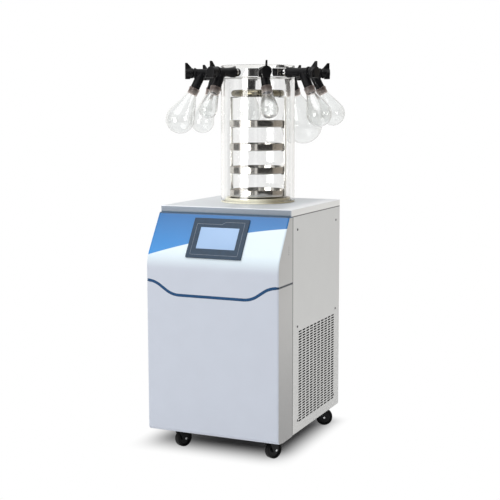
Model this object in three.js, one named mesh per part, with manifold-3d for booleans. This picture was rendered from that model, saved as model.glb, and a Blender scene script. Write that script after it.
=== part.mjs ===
// Floor-standing freeze dryer: a refrigerated cabinet on four swivel casters, a clear drying chamber
// with four trays on its worktop, and a clear manifold lid with eight valves and pear-shaped flasks.
// Millimetres. X to the right seen from the front, Y to the back, Z up. The origin is on the floor,
// under the middle of the whole envelope.
import * as THREE from "three";
import { mergeVertices } from "three/addons/utils/BufferGeometryUtils.js";
import Module from "manifold-3d";

const wasm = await Module();
wasm.setup();

// ---------------------------------------------------------------- driving dimensions

const seat = 0.3; // gap wherever one piece rests on, or fits in, another

// Cabinet
const cabinetWidth = 480;
const cabinetDepth = 577; // front face of the cover to rear panel
const underside = 82; // floor to the bottom of the cabinet
const worktopHeight = 840;
const frontShellDepth = 121; // front face to the seam with the side panels
const chamberFromFront = 385; // front face to the chamber axis
const chamberBehindOrigin = 19;
const panelSheet = 1.5;
const panelFlange = 14;
const worktopSheet = 2;
const worktopRim = 21.5;
const worktopOverhang = 1;
const worktopNose = 13.6; // how far the worktop reaches over the front shell
const worktopCorner = 4;
const basePanSheet = 3;
const basePanWall = 40;

// Front shell: lower cover and sloped console, moulded to one side outline
const shellWall = 3;
const shellEdge = 6; // radius of the upright front edges
const coverToe = 14; // radius rolled under at the bottom of the cover
const coverLip = 28; // width of the lip under the cover
const consoleLedge = 13.4; // level strip between the worktop and the slope
const consoleLean = 32.7; // degrees, slope against the upright
const consoleBrow = 5; // radius at the top of the slope
const consoleSweep = 100; // radius from the slope into the upright face
const splitHigh = 598; // height of the split line at both sides
const splitLow = 553; // height of the split line in the middle
const splitShoulder = 29; // side face to where the line leaves its high level
const splitRun = 67; // sideways run of the line from one level to the other
const splitSweep = 90; // radius of its bends
const splitGap = 0.6;
const stripHeight = 8.4;
const stripDepth = 1;
const stripProud = 0.4;

// Display on the slope
const displayWidth = 202;
const displayHeight = 147;
const displayProud = 4;
const displayBody = 30; // depth of the module behind the fascia
const displayCorner = 3;
const displayOffset = 5; // to the right of the middle
const displayDown = 90.5; // from the top of the slope to the display's middle, along the slope
const screenWidth = 140;
const screenHeight = 79;
const screenSheet = 1.5;
const screenSunk = 0.8;

// Vents
const ventColumns = 10;
const ventRows = 10;
const ventWidth = 340;
const ventHeight = 306;
const ventBottom = 118;
const ventBridge = 10; // sheet left between neighbouring slots of a row
const ventBar = 14; // sheet left between rows
const outletRows = 7;
const outletColumns = 2;
const outletSlot = 110;
const outletSlotHeight = 6;
const outletPitch = 20;
const outletBridge = 30;
const outletBottom = 150;

// Chamber
const chamberRadius = 130;
const chamberWall = 8;
const chamberHeight = 427.4; // length of the clear cylinder
const gasketHeight = 5;
const lidGasketHeight = 3;
const lidHeight = 40;
const lidPlate = 12;
const lidRecessRadius = 110;
const trapRadius = 100; // inside of the cold trap
const trapWall = 2;
const trapDepth = 198;
const trapCorner = 3; // corner at the foot of the trap
const trapFlangeRadius = 116;
const trapHoleClearance = 1;
const ringOuterRadius = 114.5;
const ringHeight = 13.4;

// Tray rack
const trayRadius = 100;
const trayHeight = 24;
const traySheet = 1.5;
const trayPitch = 81;
const trayCount = 4;
const postWidth = 16;
const postSheet = 3;
const postClearance = 1.5; // between tray rim and post
const lugLength = 12;
const lugWidth = 10;
const lugSheet = 2.5;
const rackHeight = 352; // underside of the base bar to underside of the cap
const capRadius = 94;
const capHeight = 24;
const capSheet = 2;

// Manifold valves; x is the distance from the chamber axis
const valveFirstAngle = 30.3; // degrees from straight ahead towards the right
const valveDrop = 26.6; // from the top of the lid down to the valve axis
const valveRadius = 15;
const valveRootRadius = 17.5; // where the valve stands against the lid
const valveRootLength = 12;
const valveTaper = 18; // length of the cone from the root to the barrel
const spigotRadius = 10;
const spigotInside = 7; // how far the spigot stands into the recess
const spigotLip = 2.5;
const collarRadius = 18.5;
const collarLength = 8;
const bodyEnd = 224;
const plugRadius = 7.7;
const plugDepth = 34;
const branchStart = 196;
const branchTilt = 26; // degrees from straight down, outwards
const branchRadius = 16;
const branchLength = 57; // along the branch from the valve axis to its shoulder
const neckGrip = 22; // length of the branch inside the flask's neck
const gripRadius = 14.5;

// Valve knobs
const knobDepth = 31;
const knobRootRadius = 15.5;
const knobRadius = 17.8;
const bladeHeight = 36; // upright blade, above the valve axis
const bladeThickness = 6;
const bladeTop = 8; // length of the blade along the axis at its top
const heelLength = 18; // block under the hub, along the axis
const heelDrop = 20.5;
const heelWidth = 26;
const wingReach = 27; // wing to the left, seen from outside
const wingDrop = 19;
const wingThickness = 9;
const wingTip = 7;

// Flasks: bulb diameter and length from the mouth to the bottom
const flaskKinds = {
  small: { bulb: 62, length: 113 },
  medium: { bulb: 87, length: 143 },
  long: { bulb: 88, length: 177 },
  large: { bulb: 102, length: 171 },
  great: { bulb: 142, length: 217 },
};
// The flask on each valve, and how far that valve is turned in the lid, in degrees
const stations = [
  { kind: "small", turn: 4 },
  { kind: "medium", turn: 0 },
  { kind: "medium", turn: -7 },
  { kind: "great", turn: 3 },
  { kind: "medium", turn: 0 },
  { kind: "long", turn: -8 },
  { kind: "large", turn: 0 },
  { kind: "small", turn: -4 },
];
const flaskWall = 1.8;
const neckWall = 3.2;
const neckLength = 27;
const neckBead = 1.2; // how far the bead round the mouth stands out
const neckBeadLength = 7;

// Casters
const wheelRadius = 31;
const wheelWidth = 22;
const wheelRimInner = 22;
const wheelDish = 4;
const wheelTread = 2;
const axleRadius = 3.5;
const legSheet = 3;
const legGap = 1; // between wheel and fork leg
const legFoot = 9;
const crownRadius = 19;
const crownBottom = 64;
const padRadius = 22;
const padHeight = 8;
const casterTrail = 14;
const frontCaster = { fromSide: 70, fromFront: 98, angle: 65 };
const rearCaster = { fromSide: 60, fromBack: 26, angle: 20 };

// Machinery
const compressorRadius = 78;
const compressorHeight = 215;
const compressorFoot = 95;
const compressorFootSheet = 4;
const compressorX = -95;
const compressorY = 40;
const coilWidth = 40;
const coilLength = 270;
const coilHeight = 300;
const coilFins = 7;
const coilFinGap = 11;
const coilFinDepth = 10;
const coilFromPanel = 4; // between the side panel's flange and the coil
const shroudDepth = 30;
const shroudSheet = 2;
const fanRadius = 105;
const fanTipClearance = 5;
const fanHubRadius = 28;
const fanHubLength = 20;
const fanBlades = 5;
const fanPitch = 28;
const bladeSheet = 2.5;
const bladeChord = 46;
const motorRadius = 24;
const motorLength = 34;
const shaftRadius = 4;
const spokeWidth = 12;

// Rear connections
const portRadius = 13;
const portBore = 11;
const portFlangeRadius = 20;
const portFlangeHeight = 4;
const portLength = 34;
const portInside = 20;
const portPlateRadius = 26;
const portPlateHeight = 4;
const portX = 150;
const portZ = 620;
const inletWidth = 48;
const inletHeight = 28;
const inletPlate = 3;
const inletBodyWidth = 32;
const inletBodyHeight = 22;
const inletDepth = 24;
const inletSocketWidth = 25;
const inletSocketHeight = 16;
const inletSocketDepth = 18;
const inletX = -150;
const inletZ = 200;

// Facets round a full turn
const largeRound = 32;
const mediumRound = 20;
const smallRound = 10;
const wheelRound = 16;
const shellArc = 12; // degrees a facet round the bends of the front shell
const cornerArc = 30; // degrees a facet round small corners

// ---------------------------------------------------------------- derived places

const halfWidth = cabinetWidth / 2;
const splitOuter = halfWidth - splitShoulder;
const splitInner = splitOuter - splitRun;
const frontY = chamberBehindOrigin - chamberFromFront;
const backY = frontY + cabinetDepth;
const seamY = frontY + frontShellDepth;
const shellTop = worktopHeight - worktopRim - seat;
const panelBackY = backY - panelSheet - seat;
const trapFlangeTop = worktopHeight + seat + trapWall;
const ringTop = trapFlangeTop + seat + ringHeight;
const cylinderBottom = worktopHeight + seat + gasketHeight + seat;
const chamberTop = cylinderBottom + chamberHeight;
const lidBottom = chamberTop + seat + lidGasketHeight + seat;
const lidTop = lidBottom + lidHeight;
const valveZ = lidTop - valveDrop;
const rackBottom = ringTop + seat;
const postX = trayRadius + postClearance;
const capRimRadius = capRadius - capHeight / 2; // where the cap's rounded rim meets its flat underside
const trayBottom = (level) => rackBottom + postSheet + seat + level * trayPitch;
const consoleTopY = seamY - worktopNose - consoleLedge;
const lean = THREE.MathUtils.degToRad(consoleLean);
const axleZ = wheelRadius * Math.cos(Math.PI / wheelRound);

// ---------------------------------------------------------------- solids from geometries

// A closed geometry as a solid: only positions are kept, and faces that collapse on an axis go.
function solid(geometry) {
  const bare = geometry.clone();
  bare.deleteAttribute("normal");
  bare.deleteAttribute("uv");
  const merged = mergeVertices(bare, 1e-4);
  const index = merged.index.array;
  const corners = [];
  for (let i = 0; i < index.length; i += 3) {
    const [a, b, c] = [index[i], index[i + 1], index[i + 2]];
    if (a !== b && b !== c && c !== a) corners.push(a, b, c);
  }
  const made = new wasm.Mesh({
    numProp: 3,
    vertProperties: new Float32Array(merged.attributes.position.array),
    triVerts: new Uint32Array(corners),
  });
  return new wasm.Manifold(made);
}

// A solid as a geometry with flat-shaded faces.
function geometryOf(body) {
  const { vertProperties, triVerts, numProp } = body.getMesh();
  const positions = new Float32Array((vertProperties.length / numProp) * 3);
  for (let i = 0; i < positions.length / 3; i++) {
    positions.set(vertProperties.subarray(i * numProp, i * numProp + 3), i * 3);
  }
  const geometry = new THREE.BufferGeometry();
  geometry.setAttribute("position", new THREE.BufferAttribute(positions, 3));
  geometry.setIndex(new THREE.BufferAttribute(new Uint32Array(triVerts), 1));
  const flat = geometry.toNonIndexed();
  flat.computeVertexNormals();
  return flat;
}

const joined = (bodies) => bodies.reduce((whole, body) => whole.add(body));
const without = (body, cutters) => cutters.reduce((rest, cutter) => rest.subtract(cutter), body);

function boxGeometry([x0, x1], [y0, y1], [z0, z1]) {
  const box = new THREE.BoxGeometry(x1 - x0, y1 - y0, z1 - z0);
  return box.translate((x0 + x1) / 2, (y0 + y1) / 2, (z0 + z1) / 2);
}
const block = (x, y, z) => solid(boxGeometry(x, y, z));

// Extrudes an outline along one axis. It is drawn in (x, y) for "z", (y, z) for "x", (x, z) for "y".
function extruded(outline, axis, from, to, holes = []) {
  const shape = new THREE.Shape(outline);
  const geometry = new THREE.ExtrudeGeometry(shape, { depth: to - from, bevelEnabled: false });
  const turn = new THREE.Matrix4();
  if (axis === "z") turn.makeTranslation(0, 0, from);
  if (axis === "x") turn.set(0, 0, 1, from, 1, 0, 0, 0, 0, 1, 0, 0, 0, 0, 0, 1);
  if (axis === "y") turn.set(1, 0, 0, 0, 0, 0, -1, to, 0, 1, 0, 0, 0, 0, 0, 1);
  const cutters = holes.map((hole) => extruded(hole, axis, from - 1, to + 1));
  return without(solid(geometry.applyMatrix4(turn)), cutters);
}

// Turns a closed outline of [radius, height] points about the Z axis.
function turned(outline, facets) {
  const points = outline.map(([r, z]) => new THREE.Vector2(r, z));
  if (THREE.ShapeUtils.area(points) < 0) points.reverse();
  points.push(points[0].clone());
  const geometry = new THREE.LatheGeometry(points, facets);
  return solid(geometry.rotateX(Math.PI / 2));
}

// Radius of a faceted bore in which a round of the given radius turns freely.
const boreFor = (radius, facets) => (radius + seat) / Math.cos(Math.PI / facets);

const rod = (radius, z0, z1, facets) =>
  turned([[0, z0], [radius, z0], [radius, z1], [0, z1]], facets);
const tube = (inner, outer, z0, z1, facets) =>
  turned([[inner, z0], [outer, z0], [outer, z1], [inner, z1]], facets);

// Moves a solid: tilted about Y, then turned about X, then shifted.
function moved(body, { tilt = 0, roll = 0, spin = 0, to = [0, 0, 0] }) {
  const place = new THREE.Matrix4().makeTranslation(...to);
  place.multiply(new THREE.Matrix4().makeRotationZ(THREE.MathUtils.degToRad(spin)));
  place.multiply(new THREE.Matrix4().makeRotationX(THREE.MathUtils.degToRad(roll)));
  place.multiply(new THREE.Matrix4().makeRotationY(THREE.MathUtils.degToRad(tilt)));
  return solid(geometryOf(body).applyMatrix4(place));
}
const alongX = (body, to = [0, 0, 0]) => moved(body, { tilt: 90, to });

// ---------------------------------------------------------------- outlines

// Shifts each straight side of an outline to its left by its own distance, and shrinks or grows
// the corner radii with it. Corners are [a, b, radius]; an open line keeps its two ends.
function offsetCorners(corners, distances, open = false) {
  const count = corners.length;
  const lines = corners.map(([a, b], i) => {
    const [c, d] = corners[(i + 1) % count];
    const length = Math.hypot(c - a, d - b) || 1;
    const normal = [-(d - b) / length, (c - a) / length];
    const shift = Array.isArray(distances) ? distances[i] : distances;
    const along = { u: (c - a) / length, v: (d - b) / length };
    return { a: a + normal[0] * shift, b: b + normal[1] * shift, ...along };
  });
  return corners.map(([, , radius = 0], i) => {
    if (open && i === count - 1) {
      const last = lines[count - 2];
      const run = Math.hypot(corners[i][0] - corners[i - 1][0], corners[i][1] - corners[i - 1][1]);
      return [last.a + last.u * run, last.b + last.v * run, 0];
    }
    if (open && i === 0) return [lines[0].a, lines[0].b, 0];
    const before = lines[(i + count - 1) % count];
    const after = lines[i];
    const cross = before.u * after.v - before.v * after.u;
    const step = ((after.a - before.a) * after.v - (after.b - before.b) * after.u) / cross;
    const shift = Array.isArray(distances) ? distances[i] : distances;
    const grown = radius ? Math.max(radius - Math.sign(cross) * shift, 0.5) : 0;
    return [before.a + before.u * step, before.b + before.v * step, grown];
  });
}

// Points of an outline whose corners are rounded with true arcs of about `step` degrees a facet.
function rounded(corners, step = 15, open = false) {
  const count = corners.length;
  return corners.flatMap(([a, b, radius = 0], i) => {
    if (!radius || (open && (i === 0 || i === count - 1))) return [new THREE.Vector2(a, b)];
    const corner = new THREE.Vector2(a, b);
    const back = new THREE.Vector2(...corners[(i + count - 1) % count]).sub(corner).normalize();
    const ahead = new THREE.Vector2(...corners[(i + 1) % count]).sub(corner).normalize();
    const opening = Math.acos(THREE.MathUtils.clamp(back.dot(ahead), -1, 1));
    const reach = radius / Math.tan(opening / 2);
    const start = corner.clone().addScaledVector(back, reach);
    const end = corner.clone().addScaledVector(ahead, reach);
    const middle = back.clone().add(ahead).normalize();
    const centre = corner.clone().addScaledVector(middle, radius / Math.sin(opening / 2));
    const facets = Math.max(1, Math.round(((Math.PI - opening) * 180) / Math.PI / step));
    const first = start.clone().sub(centre);
    const turn = Math.sign(back.clone().negate().cross(ahead)) * (Math.PI - opening);
    return Array.from({ length: facets + 1 }, (_, k) => {
      if (k === facets) return end;
      return first.clone().rotateAround(new THREE.Vector2(), (turn * k) / facets).add(centre);
    });
  });
}

function rectangle([a0, a1], [b0, b1], radius = 0) {
  const corners = [[a0, b0, radius], [a1, b0, radius], [a1, b1, radius], [a0, b1, radius]];
  return rounded(corners, cornerArc);
}

// ---------------------------------------------------------------- materials

const finish = (color, roughness, metalness = 0, opacity = 1) =>
  new THREE.MeshStandardMaterial({ color, roughness, metalness, opacity, transparent: opacity < 1 });
const paint = finish(0xc9d1de, 0.4);
const greyPaint = finish(0xc8c8c6, 0.45);
const fascia = finish(0xdcebf2, 0.35);
const stripBlue = finish(0x28557d, 0.4);
const bezelGrey = finish(0x3c4a5c, 0.5);
const screenBlue = finish(0xa5c3e8, 0.15);
const steel = finish(0xb9bdc0, 0.35, 0.9);
const darkSteel = finish(0x5a5d60, 0.5, 0.7);
const copper = finish(0x9a8a78, 0.5, 0.6);
const blackRubber = finish(0x16161a, 0.6);
const blackPlastic = finish(0x121214, 0.5);
const silicone = finish(0xe2e4e0, 0.5);
const cream = finish(0xf0ebd7, 0.6);
const acrylic = finish(0xe8eef0, 0.05, 0, 0.3);
const glass = finish(0xe4e8e6, 0.05, 0, 0.35);

const machine = new THREE.Group();

function addMesh(parent, name, body, material) {
  const mesh = new THREE.Mesh(body.isBufferGeometry ? body : geometryOf(body), material);
  mesh.name = name;
  parent.add(mesh);
  return mesh;
}

// ---------------------------------------------------------------- cabinet

// Folded steel tray: a sheet with a flange along each edge, open on the side away from `closed`.
function foldedTray(x, y, z, thickness, axis, closed) {
  const ranges = { x, y, z };
  const hollow = {};
  for (const name of ["x", "y", "z"]) {
    const [low, high] = ranges[name];
    if (name !== axis) hollow[name] = [low + thickness, high - thickness];
    else hollow[name] = closed === "high" ? [low - 1, high - thickness] : [low + thickness, high + 1];
  }
  return block(x, y, z).subtract(block(hollow.x, hollow.y, hollow.z));
}

function ventSlots() {
  const middle = (seamY + backY) / 2;
  const slot = (ventWidth - (ventColumns - 1) * ventBridge) / ventColumns;
  const height = (ventHeight - (ventRows - 1) * ventBar) / ventRows;
  const holes = [];
  for (let column = 0; column < ventColumns; column++) {
    for (let row = 0; row < ventRows; row++) {
      const y = middle - ventWidth / 2 + column * (slot + ventBridge);
      const z = ventBottom + row * (height + ventBar);
      holes.push(rectangle([y, y + slot], [z, z + height]));
    }
  }
  return holes;
}

function sidePanel(vented) {
  const y = [seamY + seat, panelBackY];
  const z = [underside, shellTop];
  const tray = foldedTray([halfWidth - panelFlange, halfWidth], y, z, panelSheet, "x", "high");
  if (!vented) return tray;
  const skin = [halfWidth - panelSheet, halfWidth];
  const window = block([skin[0] - 1, skin[1] + 1], [y[0] + panelFlange, y[1] - panelFlange],
    [z[0] + panelFlange, z[1] - panelFlange]);
  const sheetOutline = rectangle([y[0] + panelFlange, y[1] - panelFlange],
    [z[0] + panelFlange, z[1] - panelFlange]);
  return tray.subtract(window).add(extruded(sheetOutline, "x", skin[0], skin[1], ventSlots()));
}

function rearPanel() {
  const holes = [];
  const field = outletColumns * outletSlot + (outletColumns - 1) * outletBridge;
  for (let column = 0; column < outletColumns; column++) {
    for (let row = 0; row < outletRows; row++) {
      const x = -field / 2 + column * (outletSlot + outletBridge);
      const z = outletBottom + row * outletPitch;
      holes.push(rectangle([x, x + outletSlot], [z, z + outletSlotHeight]));
    }
  }
  const halfBody = [inletBodyWidth / 2 + seat, inletBodyHeight / 2 + seat];
  holes.push(rectangle([inletX - halfBody[0], inletX + halfBody[0]],
    [inletZ - halfBody[1], inletZ + halfBody[1]]));
  const sheet = extruded(rectangle([-halfWidth, halfWidth], [underside, shellTop]),
    "y", backY - panelSheet, backY, holes);
  const portHole = moved(rod(portRadius + seat, -panelSheet * 3, panelSheet * 3, mediumRound), {
    roll: 90,
    to: [portX, backY, portZ],
  });
  return sheet.subtract(portHole);
}

function worktop() {
  const x = halfWidth + worktopOverhang;
  const y = [seamY - worktopNose, backY + worktopOverhang];
  const z = [worktopHeight - worktopRim, worktopHeight];
  const outside = extruded(rectangle([-x, x], y, worktopCorner), "z", z[0], z[1]);
  const inset = x - worktopSheet;
  const inside = extruded(rectangle([-inset, inset], [y[0] + worktopSheet, y[1] - worktopSheet]),
    "z", z[0] - 1, z[1] - worktopSheet);
  const holeRadius = trapRadius + trapWall + trapHoleClearance;
  const hole = moved(rod(holeRadius, z[0], z[1] + 1, largeRound), { to: [0, chamberBehindOrigin, 0] });
  return without(outside, [inside, hole]);
}

function basePan() {
  const x = halfWidth - panelFlange - seat;
  const y = [frontY + coverLip + seat, panelBackY - panelFlange - seat];
  const pan = foldedTray([-x, x], y, [underside, underside + basePanWall], basePanSheet, "z", "low");
  const pads = casterPlaces().map(({ to }) =>
    moved(rod(padRadius, underside - padHeight, underside + 1, wheelRound), { to }));
  return joined([pan, ...pads]);
}

// Side outline of the front shell in (y, z), anticlockwise from the bottom of the seam, as
// [y, z, corner radius]. Seen from the right the front is on the left.
function shellCorners() {
  const slopeFoot = shellTop - (consoleTopY - frontY) / Math.tan(lean);
  return [
    [seamY, underside, 0],
    [seamY, shellTop, 0],
    [consoleTopY, shellTop, consoleBrow],
    [frontY, slopeFoot, consoleSweep],
    [frontY, underside, coverToe],
  ];
}

function frontShell() {
  const side = shellCorners();
  const plan = [
    [halfWidth, seamY, 0],
    [-halfWidth, seamY, 0],
    [-halfWidth, frontY, shellEdge],
    [halfWidth, frontY, shellEdge],
  ];
  const hull = (corners, planCorners, spread) =>
    extruded(rounded(corners, shellArc), "x", -halfWidth - spread, halfWidth + spread).intersect(
      extruded(rounded(planCorners, cornerArc), "z", underside - 1, shellTop + 1));
  const outside = hull(side, plan, 0);
  const pastSeam = -5;
  const inside = hull(
    offsetCorners(side, [pastSeam, shellWall, shellWall, shellWall, shellWall]),
    offsetCorners(plan, [pastSeam, shellWall, shellWall, shellWall]), 1);
  const floorOpening = block([-halfWidth + shellWall, halfWidth - shellWall],
    [frontY + coverLip, seamY + 1], [underside - 1, underside + shellWall + 1]);
  return without(outside, [inside, floorOpening]);
}

// The split line from left to right in (x, z), as [x, z, bend radius].
function splitCorners() {
  const end = halfWidth + 5;
  return [
    [-end, splitHigh, 0],
    [-splitOuter, splitHigh, splitSweep],
    [-splitInner, splitLow, splitSweep],
    [splitInner, splitLow, splitSweep],
    [splitOuter, splitHigh, splitSweep],
    [end, splitHigh, 0],
  ];
}

// A band of the given height that follows the split line, between two depths.
function splitBand(height, y0, y1, reach = halfWidth + 5) {
  const upper = rounded(offsetCorners(splitCorners(), height / 2, true), shellArc, true);
  const lower = rounded(offsetCorners(splitCorners(), -height / 2, true), shellArc, true);
  const band = extruded([...lower, ...upper.reverse()], "y", y0, y1);
  return band.intersect(block([-reach, reach], [y0 - 1, y1 + 1], [splitLow - 50, splitHigh + 50]));
}

function shellHalf(upper) {
  const shift = upper ? splitGap / 2 : -splitGap / 2;
  const line = rounded(offsetCorners(splitCorners(), shift, true), shellArc, true);
  const end = halfWidth + 5;
  const far = upper ? shellTop + 5 : underside - 5;
  const region = extruded([...line, new THREE.Vector2(end, far), new THREE.Vector2(-end, far)],
    "y", frontY - 5, seamY + 5);
  const rebate = splitBand(stripHeight, frontY - 1, frontY + stripDepth + seat);
  return frontShell().intersect(region).subtract(rebate);
}

const trimStrip = () =>
  splitBand(stripHeight - 2 * seat, frontY - stripProud, frontY + stripDepth, halfWidth - shellEdge);

// Pieces on the slope are made lying flat, their top edge towards +Y, and then leaned on to it.
function onSlope(body) {
  const down = displayDown;
  return moved(body, {
    roll: 90 - consoleLean,
    to: [displayOffset, consoleTopY - down * Math.sin(lean), shellTop - down * Math.cos(lean)],
  });
}

const rectAt = (width, height, radius = 0) =>
  rectangle([-width / 2, width / 2], [-height / 2, height / 2], radius);

function displayCutout() {
  return onSlope(extruded(rectAt(displayWidth - 12, displayHeight - 12), "z", -displayBody, displayProud));
}

function displayBezel() {
  const rim = extruded(rectAt(displayWidth, displayHeight, displayCorner), "z", seat, displayProud);
  const body = extruded(rectAt(displayWidth - 14, displayHeight - 14), "z", -displayBody, displayProud - 1);
  const window = extruded(rectAt(screenWidth, screenHeight), "z",
    displayProud - screenSunk - screenSheet - seat, displayProud + 1);
  return onSlope(rim.add(body).subtract(window));
}

function touchScreen() {
  const top = displayProud - screenSunk;
  const sheet = rectAt(screenWidth - 2 * seat, screenHeight - 2 * seat);
  return onSlope(extruded(sheet, "z", top - screenSheet, top));
}

// ---------------------------------------------------------------- chamber, trap and trays

function coldTrap() {
  const outer = trapRadius + trapWall;
  const top = trapFlangeTop;
  const bottom = top - trapDepth;
  return turned([
    [0, bottom], [outer - trapCorner, bottom], [outer, bottom + trapCorner], [outer, top - trapWall],
    [trapFlangeRadius, top - trapWall], [trapFlangeRadius, top], [trapRadius, top],
    [trapRadius, bottom + trapCorner + trapWall], [trapRadius - trapCorner, bottom + trapWall],
    [0, bottom + trapWall],
  ], largeRound);
}

// Clear lid: a plate with a deep rim, bored through the rim for each valve.
function manifoldLid() {
  const lid = turned([
    [0, lidTop - lidPlate], [lidRecessRadius, lidTop - lidPlate], [lidRecessRadius, lidBottom],
    [chamberRadius, lidBottom], [chamberRadius, lidTop], [0, lidTop],
  ], largeRound);
  const boreRadius = boreFor(spigotRadius, smallRound);
  const bore = alongX(rod(boreRadius, lidRecessRadius - 10, chamberRadius + 5, smallRound));
  const bores = valveAngles().map((angle) => moved(bore, { spin: angle, to: [0, 0, valveZ] }));
  return without(lid, bores);
}

function tray() {
  const inner = trayRadius - traySheet;
  return turned([
    [0, 0], [trayRadius - 3, 0], [trayRadius, 3], [trayRadius, trayHeight], [inner, trayHeight],
    [inner, traySheet + 1], [0, traySheet],
  ], mediumRound);
}

// Two flat posts on a base bar, with a lug under each tray and under the cap.
function trayRack() {
  const width = [-postWidth / 2, postWidth / 2];
  const top = rackBottom + rackHeight - seat;
  const base = block([-postX - postSheet, postX + postSheet], width, [rackBottom, rackBottom + postSheet]);
  const pieces = [base];
  const lugs = [{ lugTop: top, inner: capRimRadius - capSheet - 2 }];
  for (let level = 1; level < trayCount; level++) {
    lugs.push({ lugTop: trayBottom(level) - seat, inner: postX - lugLength });
  }
  for (const side of [-1, 1]) {
    const post = [side * postX, side * (postX + postSheet)].sort((a, b) => a - b);
    pieces.push(block(post, width, [rackBottom, top]));
    for (const { lugTop, inner } of lugs) {
      const lug = [side * inner, side * (postX + 0.5)].sort((a, b) => a - b);
      pieces.push(block(lug, [-lugWidth / 2, lugWidth / 2], [lugTop - lugSheet, lugTop]));
    }
  }
  return joined(pieces);
}

// Shallow cap with a rounded rim, open below.
function rackCap() {
  const bottom = rackBottom + rackHeight;
  const bulge = capHeight / 2;
  const rim = [-90, -30, 30, 90].map((angle) => {
    const a = THREE.MathUtils.degToRad(angle);
    return [capRimRadius + bulge * Math.cos(a), bottom + bulge + bulge * Math.sin(a)];
  });
  const inner = capRimRadius - capSheet;
  const ceiling = bottom + capHeight - capSheet;
  const inside = [[0, ceiling], [inner, ceiling]];
  return turned([[inner, bottom], ...rim, [0, bottom + capHeight], ...inside], mediumRound);
}

// ---------------------------------------------------------------- manifold

// Angles from +X about Z, in degrees, of the valve axes.
function valveAngles() {
  return stations.map((_, i) => valveFirstAngle + (i * 360) / stations.length - 90);
}

// Valve body with its axis along +X and its branch hanging outwards, drawn about the chamber axis.
function valveBody() {
  const lipX = lidRecessRadius - spigotInside;
  const lipRadius = spigotRadius + spigotLip;
  const lipEnd = lidRecessRadius - 3;
  const root = chamberRadius + 2 * seat;
  const rootEnd = root + valveRootLength;
  const barrel = turned([
    [0, lipX], [lipRadius, lipX], [lipRadius, lipEnd], [spigotRadius, lipEnd], [spigotRadius, root],
    [valveRootRadius, root], [valveRootRadius, rootEnd], [valveRadius, rootEnd + valveTaper],
    [valveRadius, bodyEnd - collarLength], [collarRadius, bodyEnd - collarLength],
    [collarRadius, bodyEnd], [0, bodyEnd],
  ], smallRound);
  const branch = turned([
    [0, 0], [branchRadius, 0], [branchRadius, branchLength], [gripRadius, branchLength],
    [gripRadius - 0.5, branchLength + neckGrip], [0, branchLength + neckGrip],
  ], smallRound);
  const hung = moved(branch, { tilt: 180 - branchTilt, to: [branchStart, 0, 0] });
  const bore = alongX(rod(boreFor(plugRadius, smallRound), bodyEnd - plugDepth, bodyEnd + 1, smallRound));
  return alongX(barrel).add(hung).subtract(bore);
}

// Knob with its plug along +X: a hub, an upright blade, a heel under it and a drooping wing.
function valveKnob() {
  const root = bodyEnd + seat;
  const face = root + knobDepth;
  const hub = turned([
    [0, root - plugDepth], [plugRadius, root - plugDepth], [plugRadius, root],
    [knobRootRadius, root], [knobRadius, root + 4], [knobRadius, face - 1], [knobRadius - 1, face],
    [0, face],
  ], smallRound);
  const blade = extruded(rounded([
    [root + 6, 0, 0], [face - 0.5, 0, 0], [face - 0.5, bladeHeight, 1.5],
    [face - bladeTop, bladeHeight, 2], [root + 6, knobRadius - 2, 0],
  ], cornerArc), "y", -bladeThickness / 2, bladeThickness / 2);
  const heel = block([face - heelLength, face - 0.5], [-heelWidth / 2, heelWidth / 2], [-heelDrop, 0]);
  const wing = extruded(rounded([
    [0, 0, 0], [-knobRadius + 3, 0, 0], [wingTip - wingReach, -wingDrop, 2],
    [-wingReach, -wingDrop, 1.5], [3 - wingReach, 4, 8], [0, knobRadius - 2, 0],
  ], cornerArc), "x", face - 3 - wingThickness, face - 3);
  return joined([alongX(hub), blade, heel, wing]);
}

// Pear-shaped flask hanging from its mouth at the origin, its axis down -Z. The wall is the space
// between two outlines that both run from the mouth, over a cone tangent to the bulb, to the bottom.
function flask({ bulb, length }) {
  const belly = (neck, radius, bottom) => {
    const centre = bottom - radius;
    const reach = Math.hypot(neck, centre - neckLength);
    const tangent = Math.acos(radius / reach) + Math.atan2(neck, centre - neckLength);
    const points = [[neck, -neckLength]];
    const steps = 4;
    for (let i = 0; i < steps; i++) {
      const angle = tangent + ((Math.PI - tangent) * i) / steps;
      points.push([radius * Math.sin(angle), -centre + radius * Math.cos(angle)]);
    }
    return [...points, [0, -bottom]];
  };
  const bore = gripRadius + seat;
  const neck = bore + neckWall;
  const mouth = [[bore, 0], [neck + neckBead, 0], [neck + neckBead, -neckBeadLength],
    [neck, -neckBeadLength - neckBead]];
  const outside = belly(neck, bulb / 2, length);
  const inside = belly(bore, bulb / 2 - flaskWall, length - flaskWall);
  return turned([...mouth, ...outside, ...inside.reverse()], smallRound);
}

function addManifold() {
  const body = geometryOf(valveBody());
  const knob = geometryOf(valveKnob());
  const angles = valveAngles();
  stations.forEach(({ kind, turn }, i) => {
    const station = new THREE.Group();
    station.position.set(0, chamberBehindOrigin, valveZ);
    station.rotation.z = THREE.MathUtils.degToRad(angles[i]);
    machine.add(station);
    addMesh(station, `valve_knob_${i + 1}`, knob, blackPlastic);
    const valve = new THREE.Group();
    valve.rotation.x = THREE.MathUtils.degToRad(turn);
    station.add(valve);
    addMesh(valve, `valve_body_${i + 1}`, body, blackRubber);
    const hanger = new THREE.Group();
    hanger.position.x = branchStart;
    hanger.rotation.y = -THREE.MathUtils.degToRad(branchTilt);
    valve.add(hanger);
    const bottle = addMesh(hanger, `flask_${i + 1}`, flask(flaskKinds[kind]), glass);
    bottle.position.z = -branchLength - seat;
  });
}

// ---------------------------------------------------------------- casters

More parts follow.
